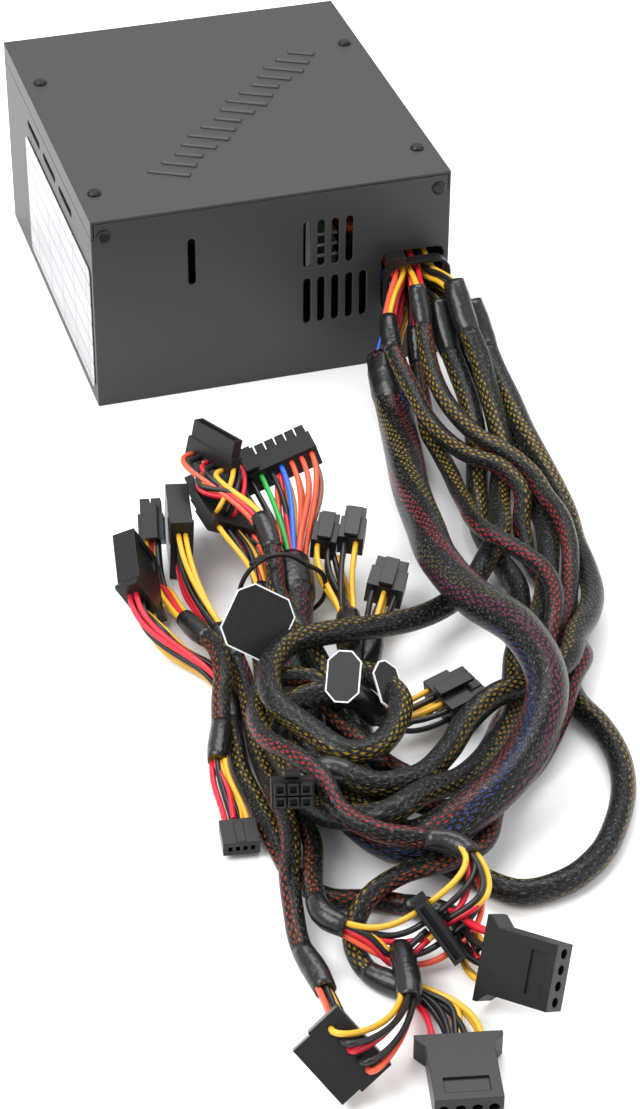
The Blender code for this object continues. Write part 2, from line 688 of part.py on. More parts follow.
def pin_block(name, columns, rows, length=16.0, latch_x=0.0):
    """A rectangular power plug: a wire block, one hollow tower for each pin and a latch on top."""
    width = columns * PIN_PITCH + PIN_WALL
    height = rows * PIN_PITCH + PIN_WALL
    block = length - TOWER_L
    body = box_of((-width / 2, 0, -height / 2), (width / 2, block, height / 2))
    plug = new_object(name, body, BLACK_NYLON)
    towers = bmesh.new()
    for column in range(columns):
        for row in range(rows):
            x = (column - (columns - 1) / 2) * PIN_PITCH
            z = (row - (rows - 1) / 2) * PIN_PITCH
            half = TOWER_W / 2
            add_box(towers, (x - half, block - 1, z - half), (x + half, length, z + half))
    boolean(plug, towers, "UNION")
    holes = bmesh.new()
    for column in range(columns):
        for row in range(rows):
            x = (column - (columns - 1) / 2) * PIN_PITCH
            z = (row - (rows - 1) / 2) * PIN_PITCH
            half = PIN_HOLE / 2
            add_box(holes, (x - half, length - PIN_DEPTH, z - half), (x + half, length + 1, z + half))
    boolean(plug, holes, "DIFFERENCE")
    top = height / 2
    latch = bmesh.new()
    side = [(2, top - 0.5), (5, top - 0.5), (5, top + 1.2), (13.5, top + 1.2), (13.5, top + 2.4),
            (0, top + 2.4), (0, top + 1.2), (2, top + 1.2)]
    add_prism(latch, side, latch_x - 2.6, latch_x + 2.6, "X")
    boolean(plug, latch, "UNION")
    PLUGS[name].put(plug)


def drive_plug(name):
    """Four-pin drive plug with round sockets, chamfered lower corners and two finger grips at the wires."""
    width, height, length, grip = 21.0, 8.6, 27.0, 3.2
    outline = [(-width / 2, 5), (-width / 2 - grip, 1.5), (-width / 2 - grip, 0), (width / 2 + grip, 0),
               (width / 2 + grip, 1.5), (width / 2, 5), (width / 2, length), (-width / 2, length)]
    bm = bmesh.new()
    add_prism(bm, outline, -height / 2, height / 2)
    plug = new_object(name, bm, BLACK_NYLON)
    holes = bmesh.new()
    for i in range(4):
        add_prism(holes, circle(((i - 1.5) * 5.08, 0.0), 1.7, 8), length - 8, length + 1, "Y")
    boolean(plug, holes, "DIFFERENCE")
    marks = bmesh.new()
    add_box(marks, (-7, length - 9, height / 2 - 0.8), (7, length - 3, height / 2 + 1))
    boolean(plug, marks, "DIFFERENCE")
    PLUGS[name].put(plug)


def sata_plug(name):
    """Flat fifteen-contact drive plug with its wire cover; the slot for the drive's tongue is in front."""
    width, height, cover, length = 24.0, 5.2, 12.0, 19.0
    bm = bmesh.new()
    add_box(bm, (-width / 2, 0, -height / 2), (width / 2, cover, height / 2))
    plug = new_object(name, bm, BLACK_NYLON)
    nose = box_of((-width / 2 + 1, cover - 1, -height / 2 + 0.4), (width / 2 - 1, length, height / 2 - 0.4))
    boolean(plug, nose, "UNION")
    tongue_slot = box_of((-width / 2 + 2.2, length - 5, -0.8), (width / 2 - 2.2, length + 1, 1.0))
    boolean(plug, tongue_slot, "DIFFERENCE")
    PLUGS[name].put(plug)


def floppy_plug(name):
    """Small four-pin plug with a guide rib below."""
    bm = bmesh.new()
    add_box(bm, (-6.2, 0, -2.6), (6.2, 12, 2.6))
    plug = new_object(name, bm, BLACK_NYLON)
    holes = bmesh.new()
    for i in range(4):
        x = (i - 1.5) * 2.5
        add_box(holes, (x - 0.7, 7, -0.9), (x + 0.7, 13, 0.9))
    boolean(plug, holes, "DIFFERENCE")
    rib = box_of((-1.5, 2, 2.0), (1.5, 12, 3.2))
    boolean(plug, rib, "UNION")
    PLUGS[name].put(plug)


def plugs():
    pin_block("plug_main_24pin", 12, 2)
    for name in ("plug_cpu_a", "plug_cpu_b", "plug_cpu_c"):
        pin_block(name, 2, 2)
    pin_block("plug_graphics_a", 3, 2)
    pin_block("plug_graphics_b", 4, 2)
    pin_block("plug_graphics_c", 3, 2)
    for name in ("plug_drive_a", "plug_drive_b", "plug_drive_c", "plug_drive_d"):
        drive_plug(name)
    for name in ("plug_sata_a", "plug_sata_b", "plug_sata_c", "plug_sata_d"):
        sata_plug(name)
    floppy_plug("plug_floppy")


# ---------------------------------------------------------------- cables

# Each cable is its diameter, its two ends and its route. An end is None at the case, or a plug's name
# and the place and direction of its wires on the plug. A route point is (x, y, least height of the axis,
# layer): a cable lies over the cables of a lower layer where they meet, and on the floor elsewhere.
WIRE_FACE = ((0, -0.4, 0), (0, -1, 0))
CABLES = {
    "cable_graphics_c": (POWER_D, None, ("plug_graphics_c", *WIRE_FACE), [
        (62, -107, 41, 4), (62, -120, 30, 4), (62, -132, 20, 4), (62, -147, 10, 2), (59, -165, 0, 0),
        (55, -183, 0, 0), (50, -204, 0, 0), (46, -225, 0, 0), (42, -248, 0, 0), (41, -270, 0, 0),
        (40, -295, 0, 0), (42, -322, 0, 0), (45, -338, 0, 0), (45, -352, 0, 0), (41, -368, 0, 0),
        (33, -383, 0, 0), (23, -396, 0, 0), (10, -405, 0, 0), (-2, -409, 0, 0), (-13, -407, 0, 0),
        (-21, -396, 0, 0), (-27, -385, 0, 0), (-36, -376, 0, 0), (-41, -352, 0, 1), (-38, -320, 0, 1),
        (-31, -292, 0, 1), (-20, -274, 2, 1)]),
    "cable_sata_a": (CHAIN_D, None, ("plug_sata_a", (0, 6, 6.2), (0.8, -0.3, 0.6)), [
        (41, -107, 37, 6), (39, -118, 32, 6), (39, -134, 24, 6), (40, -147, 17, 5), (41, -160, 12, 5),
        (44, -173, 8, 5), (49, -185, 8, 5), (54, -197, 8, 4), (57, -208, 6, 4), (59, -218, 0, 3),
        (61, -232, 0, 3), (61, -246, 0, 3), (60, -264, 0, 3), (55, -284, 0, 2), (46, -304, 0, 2),
        (36, -324, 0, 3), (18, -346, 0, 3), (-6, -362, 0, 2), (-30, -366, 0, 2), (-44, -352, 0, 3),
        (-50, -325, 0, 3), (-52, -292, 0, 3), (-50, -262, 0, 4), (-46, -240, 16, 4), (-44, -222, 23, 4),
        (-49, -206, 32, 4)]),
    "cable_main": (MAIN_D, None, ("plug_main_24pin", (8, -3.2, 0), (-0.15, -1, -0.25)), [
        (39, -110, 20, 2), (37, -122, 13, 2), (35, -138, 0, 1), (29, -167, 0, 1), (22, -196, 0, 1),
        (18, -223, 0, 1), (14, -252, 0, 4), (14, -277, 4, 6), (18, -295, 8, 8), (22, -311, 10, 8),
        (23, -328, 10, 8), (19, -346, 10, 8), (11, -361, 10, 8), (1, -375, 10, 8), (-11, -385, 10, 8),
        (-22, -389, 8, 6), (-33, -388, 0, 2), (-46, -380, 0, 0), (-54, -366, 0, 0),
        (-59, -342, 0, 0), (-55, -308, 0, 0),
        (-47, -276, 0, 0), (-41, -248, 0, 1), (-37, -230, 8, 1), (-33, -213, 17, 1)]),
    "cable_cpu": (POWER_D, None, ("plug_cpu_a", (5, -2.6, 0), (0.4, -1, -0.2)), [
        (69, -107, 48.5, 6), (69, -123, 38, 6), (70, -135, 30, 6), (70, -148, 22, 5), (70, -160, 14, 4),
        (68, -173, 6, 2), (64, -188, 0, 1), (56, -206, 0, 1), (46, -226, 0, 1), (36, -242, 0, 1),
        (26, -254, 0, 1), (10, -267, 0, 2), (-9, -278, 6, 6), (-26, -284, 10, 8), (-40, -285, 12, 8),
        (-51, -287, 12, 9), (-60, -292, 12, 9), (-66, -302, 12, 9), (-67, -315, 12, 9), (-64, -326, 12, 9),
        (-60, -336, 10, 9), (-56, -344, 10, 9), (-51, -350, 8, 9), (-45, -353, 8, 8), (-39, -346, 6, 8),
        (-35, -336, 6, 7), (-34, -323, 6, 6), (-36, -311, 6, 5), (-31, -290, 6, 5), (-25, -268, 6, 5),
        (-21, -254, 8, 5)]),
    "cable_graphics_a": (POWER_D, None, ("plug_graphics_a", *WIRE_FACE), [
        (77, -107, 38, 5), (78, -120, 28, 5), (77, -135, 24, 5), (76, -152, 18, 5), (75, -169, 14, 5),
        (75, -187, 8, 4), (75, -205, 6, 4), (74, -222, 0, 4), (71, -241, 0, 4), (65, -261, 0, 4),
        (57, -282, 0, 4), (47, -305, 0, 4), (36, -320, 0, 4), (24, -325, 0, 4), (14, -326, 0, 4),
        (3, -331, 0, 5), (-8, -341, 0, 6), (-21, -355, 0, 7), (-36, -364, 0, 8), (-52, -362, 12, 8),
        (-66, -350, 16, 8)]),
    "cable_graphics_b": (POWER_D, None, ("plug_graphics_b", (0, -0.8, 0), (0, -1, 0)), [
        (70, -107, 28, 3), (73, -118, 18, 3), (74, -135, 8, 3), (74, -152, 4, 3), (74, -169, 0, 3),
        (73, -188, 0, 3), (70, -210, 0, 3), (65, -232, 0, 3), (59, -254, 0, 3), (51, -276, 0, 3),
        (40, -293, 0, 3), (30, -301, 0, 3), (23, -309, 0, 3), (18, -327, 0, 4), (8, -343, 0, 4),
        (-6, -356, 0, 5), (-19, -372, 0, 5), (-31, -383, 0, 5), (-45, -387, 0, 5),
        (-56, -375, 0, 4), (-66, -360, 0, 4),
        (-73, -343, 0, 4), (-73, -325, 0, 6), (-64, -314, 0, 6), (-50, -312, 8, 6),
        (-36, -314, 8, 6)]),
    "cable_sata_b": (CHAIN_D, None, ("plug_sata_c", (0, 7, -3.2), (0, 0, -1)), [
        (53, -107, 50, 5), (53, -114, 42, 5), (51, -124, 34, 5), (49, -138, 26, 5), (49, -152, 20, 5),
        (51, -164, 16, 5), (55, -176, 14, 5), (60, -188, 12, 5), (64, -198, 10, 5), (66, -211, 8, 5),
        (65, -228, 8, 5), (62, -246, 8, 5), (59, -262, 6, 5), (54, -278, 0, 4), (46, -292, 0, 3),
        (36, -305, 0, 3), (24, -314, 0, 3), (10, -330, 0, 2), (-4, -346, 0, 2), (-20, -354, 0, 2),
        (-35, -346, 0, 2), (-45, -328, 0, 2), (-52, -306, 0, 3), (-62, -297, 0, 3), (-70, -308, 0, 4),
        (-75, -323, 0, 4), (-76, -338, 0, 4), (-74, -354, 0, 3), (-67, -371, 0, 3), (-60, -380, 0, 4),
        (-53, -388, 6, 5), (-40, -394, 10, 5), (-28, -402, 14, 5)]),
    "cable_drive_a": (CHAIN_D, None, ("plug_drive_a", *WIRE_FACE), [
        (53, -107, 30, 3), (50, -121, 18, 3), (46, -137, 8, 3), (42, -157, 0, 3), (43, -170, 0, 3),
        (42, -187, 0, 3), (40, -208, 0, 3), (38, -228, 0, 3), (40, -243, 0, 3), (44, -253, 0, 3),
        (48, -263, 0, 3), (48, -276, 0, 3), (42, -296, 12, 3), (30, -322, 0, 3), (12, -346, 0, 3),
        (-8, -368, 0, 3), (-30, -386, 0, 3), (-62, -402, 0, 3), (-66, -416, 0, 2), (-62, -432, 0, 1)]),
    "link_drive_b": (CHAIN_D, ("plug_drive_b", (0, -2.8, 0), (-0.27, -0.72, -0.63)),
                     ("plug_drive_c", (0, -2.4, 0), (0, -1, 0.6)), [
        (-36, -416, 4, 0), (-48, -404, 0, 0), (-62, -396, 0, 1), (-78, -380, 0, 2),
        (-77, -350, 0, 2), (-76, -320, 0, 2), (-72, -290, 0, 2), (-77, -264, 4, 2)]),
    "link_sata_d": (CHAIN_D, ("plug_sata_d", (0, 7, 3.2), (0, 0, 1)), ("plug_drive_d", *WIRE_FACE), [
        (-86, -430, 0, 2), (-88, -412, 0, 3), (-82, -388, 0, 3), (-77, -368, 0, 2), (-76, -350, 0, 1),
        (-76, -318, 0, 1), (-68, -286, 0, 1), (-70, -258, 4, 2), (-75, -238, 10, 2)]),
    "link_sata_c": (CHAIN_D, ("plug_sata_c", (0, 7, 3.2), (0, 0, 1)), ("plug_sata_b", *WIRE_FACE), [
        (-74, -418, 0, 4), (-80, -402, 0, 4), (-78, -385, 0, 3), (-72, -362, 0, 1), (-70, -335, 0, 1),
        (-67, -306, 0, 2), (-60, -276, 0, 2), (-52, -246, 12, 3)]),
    "link_floppy": (CHAIN_D, ("plug_floppy", *WIRE_FACE), ("plug_cpu_c", *WIRE_FACE), [
        (-85, -322, 0, 4), (-80, -302, 0, 4), (-76, -282, 0, 4), (-77, -262, 0, 4),
        (-79.5, -243, 8, 4), (-81, -226, 8, 3)]),
}


def smooth_curve(points, step=1.0):
    """Points about one step apart on a centripetal Catmull-Rom curve, each with its place in the list."""
    points = np.array(points, float)
    padded = np.vstack([2 * points[0] - points[1], points, 2 * points[-1] - points[-2]])
    curve = []
    for i in range(1, len(padded) - 2):
        p = padded[i - 1:i + 3]
        chord = np.maximum(np.linalg.norm(np.diff(p, axis=0), axis=1), 1e-6)
        t = np.concatenate([[0.0], np.cumsum(chord ** 0.5)])
        count = max(2, int(np.linalg.norm(p[2] - p[1]) / step))
        for k in range(count):
            u = t[1] + (t[2] - t[1]) * k / count
            a = [p[j] + (p[j + 1] - p[j]) * (u - t[j]) / (t[j + 1] - t[j]) for j in range(3)]
            b = [a[j] + (a[j + 1] - a[j]) * (u - t[j]) / (t[j + 2] - t[j]) for j in range(2)]
            curve.append([*(b[0] + (b[1] - b[0]) * (u - t[1]) / (t[2] - t[1])), i - 1 + k / count])
    curve.append([*padded[-2], len(points) - 1.0])
    return np.array(curve)


def route_of(diameter, start, end, points):
    """The tube's own points as an array of x, y, least height and layer."""
    points = [[x, y - FRONT_SHIFT, z, layer] for x, y, z, layer in points]
    for which, place in ((0, start), (-1, end)):
        if place is None:
            continue
        name, offset, direction = place
        layer = points[which][3]
        tip = PLUGS[name].at(*offset)
        lead = PLUGS[name].at(*(a + 14 * b for a, b in zip(offset, direction)))
        if which == 0:
            points[:0] = [[*tip, layer], [*lead, layer]]
        else:
            points += [[*lead, layer], [*tip, layer]]
    floor = diameter / 2 + GAP
    places = [(x, y, max(z, floor)) for x, y, z, layer in points]
    curve = smooth_curve(places)
    along = np.concatenate([[0.0], np.cumsum(np.linalg.norm(np.diff(curve[:, :3], axis=0), axis=1))])
    count = int(round(along[-1] / (TUBE_STEP * diameter)))
    stations = np.linspace(0, along[-1], count + 1)
    route = np.stack([np.interp(stations, along, curve[:, k]) for k in range(4)], axis=1)
    route[:, 3] = [points[int(round(i))][3] for i in route[:, 3]]
    route[:, 2] = np.maximum(route[:, 2], floor)
    return route


def sample_pairs(spots, radius, cable, number):
    """The pairs of samples of different cables, or of far parts of one cable, that nearly touch."""
    apart = np.linalg.norm(spots[:, None] - spots[None], axis=2)
    near = np.triu(apart < radius[:, None] + radius[None] + 4.0, 1)
    near &= (cable[:, None] != cable[None]) | (np.abs(number[:, None] - number[None]) > 3)
    return np.nonzero(near)


def lay_cables(cables):
    """Lets the cables sink on to the floor and each other from their layers until none cuts another."""
    routes = [route_of(*cable) for cable in cables.values()]
    first = np.cumsum([0] + [len(r) for r in routes])
    spots = np.concatenate([r[:, :3] for r in routes])
    floor = np.concatenate([r[:, 2] for r in routes])
    fixed = np.zeros(len(spots), bool)
    inner = np.ones(len(spots), bool)
    for k, (diameter, start, end, points) in enumerate(cables.values()):
        spots[first[k]:first[k + 1], 2] += k * 0.4
        fixed[[first[k], first[k] + 1, first[k + 1] - 2, first[k + 1] - 1]] = True
        inner[[first[k], first[k + 1] - 1]] = False
        for where in (0, 1, -2, -1):
            spots[first[k:k + 2][0 if where >= 0 else 1] + where, 2] = routes[k][where, 2]
        free = slice(first[k] + 2, first[k + 1] - 2)
        spots[free, 2] += routes[k][2:-2, 3] * LAYER_STEP
    home = spots.copy()
    parts = 6
    spans = [np.arange(first[k], first[k + 1] - 1) for k in range(len(routes))]
    low = np.concatenate([np.repeat(span, parts) for span in spans])
    share = np.tile((np.arange(parts) + 0.5) / parts, len(low) // parts)[:, None]
    cable = np.searchsorted(first, low, side="right") - 1
    radius = np.array([c[0] / 2 for c in cables.values()])[cable]
    for turn in range(SETTLE_TURNS):
        late = turn > SETTLE_TURNS * 0.7
        if turn % 10 == 0:
            near, far = sample_pairs(spots[low] * (1 - share) + spots[low + 1] * share, radius, cable, low)
        if not late:
            spots[:, 2] -= 0.3
        spots[:, :2] += (home[:, :2] - spots[:, :2]) * (0.02 if late else 0.05)
        middle = (np.roll(spots, 1, axis=0) + np.roll(spots, -1, axis=0)) / 2
        spots[inner] += (middle - spots)[inner] * (0.0, 0.0, 0.1 if late else 0.25)
        for _ in range(3):
            at = spots[low] * (1 - share) + spots[low + 1] * share
            gap = at[near] - at[far]
            apart = np.maximum(np.linalg.norm(gap, axis=1), 1e-6)
            short = radius[near] + radius[far] + CABLE_GAP - apart
            hit = short > 0
            push = (gap / apart[:, None] * short[:, None] * 0.5)[hit]
            move = np.zeros_like(spots)
            weight = np.full(len(spots), 1e-9)
            for which, sign in ((near[hit], 1), (far[hit], -1)):
                for step, part in ((0, 1 - share[which]), (1, share[which])):
                    np.add.at(move, low[which] + step, sign * push * part)
                    np.add.at(weight, low[which] + step, part[:, 0])
            spots += move / np.maximum(weight, 0.5)[:, None] * 1.3
            spots[:, 2] = np.maximum(spots[:, 2], floor)
            spots[fixed] = home[fixed]
    return {name: spots[first[k]:first[k + 1]] for k, name in enumerate(cables)}


def tube(name, diameter, points, mat, closed=False):
    curve = bpy.data.curves.new(name, "CURVE")
    curve.dimensions = "3D"
    curve.bevel_depth = diameter / 2 * MM
    curve.bevel_resolution = 2
    curve.use_fill_caps = True
    spline = curve.splines.new("POLY")
    spline.points.add(len(points) - 1)
    for point, place_mm in zip(spline.points, points):
        point.co = (*(float(v) * MM for v in place_mm), 1.0)
    spline.use_cyclic_u = closed
    curve.materials.append(mat)
    bpy.context.scene.collection.objects.link(bpy.data.objects.new(name, curve))


def cables():
    for name, points in lay_cables(CABLES).items():
        tube(name, CABLES[name][0], points, BRAID)
    ring = [(x, NECK_TIE_Y - FRONT_SHIFT, z) for x, z in NECK_TIE_RING]
    tube("neck_tie", NECK_TIE_D, ring, BLACK_NYLON, closed=True)


# ---------------------------------------------------------------- wires at the outlet and ties

FAN_OUT_Y = -103.0 - FRONT_SHIFT
TIE_Y = -90.0 - FRONT_SHIFT


def wire_bundle():
    """The loose wires from inside the case through the outlet to the sleeves, as one flared solid."""
    half = OUTLET_W / 2 - 1.5
    sections = [(TIE_Y + 24, OUTLET_X, OUTLET_Z + 4, half, half),
                (TIE_Y + 6, OUTLET_X, OUTLET_Z, half, half),
                (TIE_Y - 4, OUTLET_X - 1, OUTLET_Z, half, half - 1), (FAN_OUT_Y, 56, 35, 21, 16)]
    bm = bmesh.new()
    rings = []
    for y, x, z, half_w, half_h in sections:
        outline = rounded((x, z), 2 * half_w, 2 * half_h, min(half_w, half_h) * 0.45, 3)
        rings.append([bm.verts.new((a * MM, y * MM, b * MM)) for a, b in outline])
    bm.faces.new(rings[0])
    bm.faces.new(rings[-1][::-1])
    for near, far in zip(rings, rings[1:]):
        for i in range(len(near)):
            j = (i + 1) % len(near)
            bm.faces.new((near[i], near[j], far[j], far[i]))
    new_object("wire_bundle", bm, BRAID)
    half_w, half_h = half + GAP, half - 0.4 + GAP
    outline = rounded((OUTLET_X - 0.6, OUTLET_Z), 2 * half_w + 3.2, 2 * half_h + 3.2, 6.5, 4)
    bm = bmesh.new()
    add_prism(bm, outline, TIE_Y - 2.4, TIE_Y + 2.4, "Y")
    tie = new_object("bundle_tie", bm, BLACK_NYLON)
    hole = bmesh.new()
    add_prism(hole, rounded((OUTLET_X - 0.6, OUTLET_Z), 2 * half_w + 0.6, 2 * half_h + 0.6, 5.0, 4),
              TIE_Y - 5, TIE_Y + 5, "Y")
    boolean(tie, hole, "DIFFERENCE")
    head_x = OUTLET_X - half_w + 2
    top = OUTLET_Z + half_h + 0.6
    boolean(tie, box_of((head_x - 3, TIE_Y - 3, top), (head_x + 4, TIE_Y + 3, top + 4.2)), "UNION")


def main():
    case_tray()
    lid()
    for number, (x, y) in enumerate(lid_screw_places(), 1):
        screw(f"lid_screw_{number}", 9.0, (x, y, CASE_H), (0, 0, 0))
    for number, side in enumerate((-1, 1), 1):
        screw(f"front_screw_{number}", 5.0, (side * FRONT_SCREW_X, -HALF_D, FRONT_SCREW_Z), (90, 0, 0))
    rating_label()
    ac_inlet()
    switch()
    fan_frame()
    fan_rotor()
    fan_grille()
    for number, (x, y) in enumerate(fan_corners(), 1):
        screw(f"fan_screw_{number}", 12.0, (x, y, RECESS_DEPTH - GAP - GRILLE_T), (180, 0, 0))
    inside_parts()
    plugs()
    wire_bundle()
    cables()


for leftover in list(bpy.data.objects):
    bpy.data.objects.remove(leftover, do_unlink=True)
main()
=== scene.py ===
# %% [markdown]
# # A computer power supply with its plugs and sleeved cables
#
# The real thing is a folded steel box with a fan below, and a fat bundle of cables that leaves
# one end. We build the looks around a fixed frame of rigid parts, which is loaded first: every
# new piece rides on one of its bodies.

import math

import bmesh
import bpy
import numpy as np
from mathutils import Matrix, Vector


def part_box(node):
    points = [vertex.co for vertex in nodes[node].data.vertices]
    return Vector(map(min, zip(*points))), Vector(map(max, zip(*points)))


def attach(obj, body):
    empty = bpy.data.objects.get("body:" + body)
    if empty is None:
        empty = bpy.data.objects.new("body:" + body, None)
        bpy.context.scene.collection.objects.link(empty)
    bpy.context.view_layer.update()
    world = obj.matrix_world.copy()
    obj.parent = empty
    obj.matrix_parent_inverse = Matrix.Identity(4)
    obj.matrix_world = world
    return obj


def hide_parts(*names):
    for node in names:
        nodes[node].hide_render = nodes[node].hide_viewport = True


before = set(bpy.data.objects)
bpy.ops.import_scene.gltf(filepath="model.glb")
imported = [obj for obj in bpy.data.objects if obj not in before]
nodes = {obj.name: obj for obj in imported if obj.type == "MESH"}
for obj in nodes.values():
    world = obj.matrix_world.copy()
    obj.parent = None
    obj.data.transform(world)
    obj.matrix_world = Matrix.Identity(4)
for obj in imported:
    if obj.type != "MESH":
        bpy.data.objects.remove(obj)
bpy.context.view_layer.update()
MM = 0.001

# %% [markdown]
# ## The camera
#
# A long lens from high above the cables, turned a little to the left of the case.

# %% Camera
EYE = Vector((-0.2725, -1.0241, 0.6343))
LOOK_AT = Vector((-0.03518, -0.26171, 0.043))
lens_data = bpy.data.cameras.new("studio_camera")
lens_data.sensor_width = 36.0
lens_data.lens = 90.66
lens_data.clip_start = 0.01
camera = bpy.data.objects.new("studio_camera", lens_data)
bpy.context.scene.collection.objects.link(camera)
toward = (LOOK_AT - EYE).to_track_quat("-Z", "Y").to_matrix()
roll = Matrix.Rotation(math.radians(0.46), 3, "Z")
camera.matrix_world = Matrix.Translation(EYE) @ (toward @ roll).to_4x4()
bpy.context.scene.camera = camera
print("camera at", tuple(round(v, 3) for v in EYE))

# %% [markdown]
# ## Where the plugs lie
#
# Each plug is given by the middle of its wire face and three turns. The same places are in the
# frame, so a wire can be led to a point on its plug: x runs along the plug's width, y towards
# the pins and z up from its latch.

# %% Plug places


class Plug:
    """The place and turn of one plug; sizes are in millimetres."""

    def __init__(self, x, y, z, heading, pitch=0.0, roll=0.0):
        self.place = Vector((x, y, z))
        turn = Matrix.Rotation(math.radians(heading), 3, "Z")
        turn = turn @ Matrix.Rotation(math.radians(pitch), 3, "X")
        self.turn = turn @ Matrix.Rotation(math.radians(roll), 3, "Y")

    def at(self, x, y, z):
        return self.place + self.turn @ Vector((x, y, z))

    def along(self, x, y, z):
        return self.turn @ Vector((x, y, z))


PLUGS = {
    "plug_main_24pin": Plug(-36, -184, 22.4, 1, 2, -18),
    "plug_sata_a": Plug(-54.4, -181, 27, -59, 73, -3),
    "plug_sata_b": Plug(-52, -210, 20.5, 8, 4, 32),
    "plug_drive_c": Plug(-95, -236, 14.4, -9, 16, 66),
    "plug_cpu_c": Plug(-81.5, -199, 14, -12, 41, -5),
    "plug_drive_d": Plug(-72.5, -208, 14.4, -10, 4, 92),
    "plug_cpu_a": Plug(-22.5, -224.5, 16, -26, 8, 4),
    "plug_cpu_b": Plug(-13, -228, 18.4, -26, 14, 4),
    "plug_graphics_c": Plug(-8, -253, 12, -30, 8, 8),
    "plug_graphics_b": Plug(-9, -318, 12, -75, 6),
    "plug_graphics_a": Plug(-77, -367, 31, 166, 34),
    "plug_floppy": Plug(-91, -350, 5, 172, 0),
    "plug_sata_c": Plug(-44, -419.5, 9.6, 163, 37, 126),
    "plug_sata_d": Plug(-84, -467, 20, 102, -33, 134),
    "plug_drive_a": Plug(-53, -465, 5, 168, 0),
    "plug_drive_b": Plug(-35.2, -441.6, 14.3, 216, 14, 56),
}
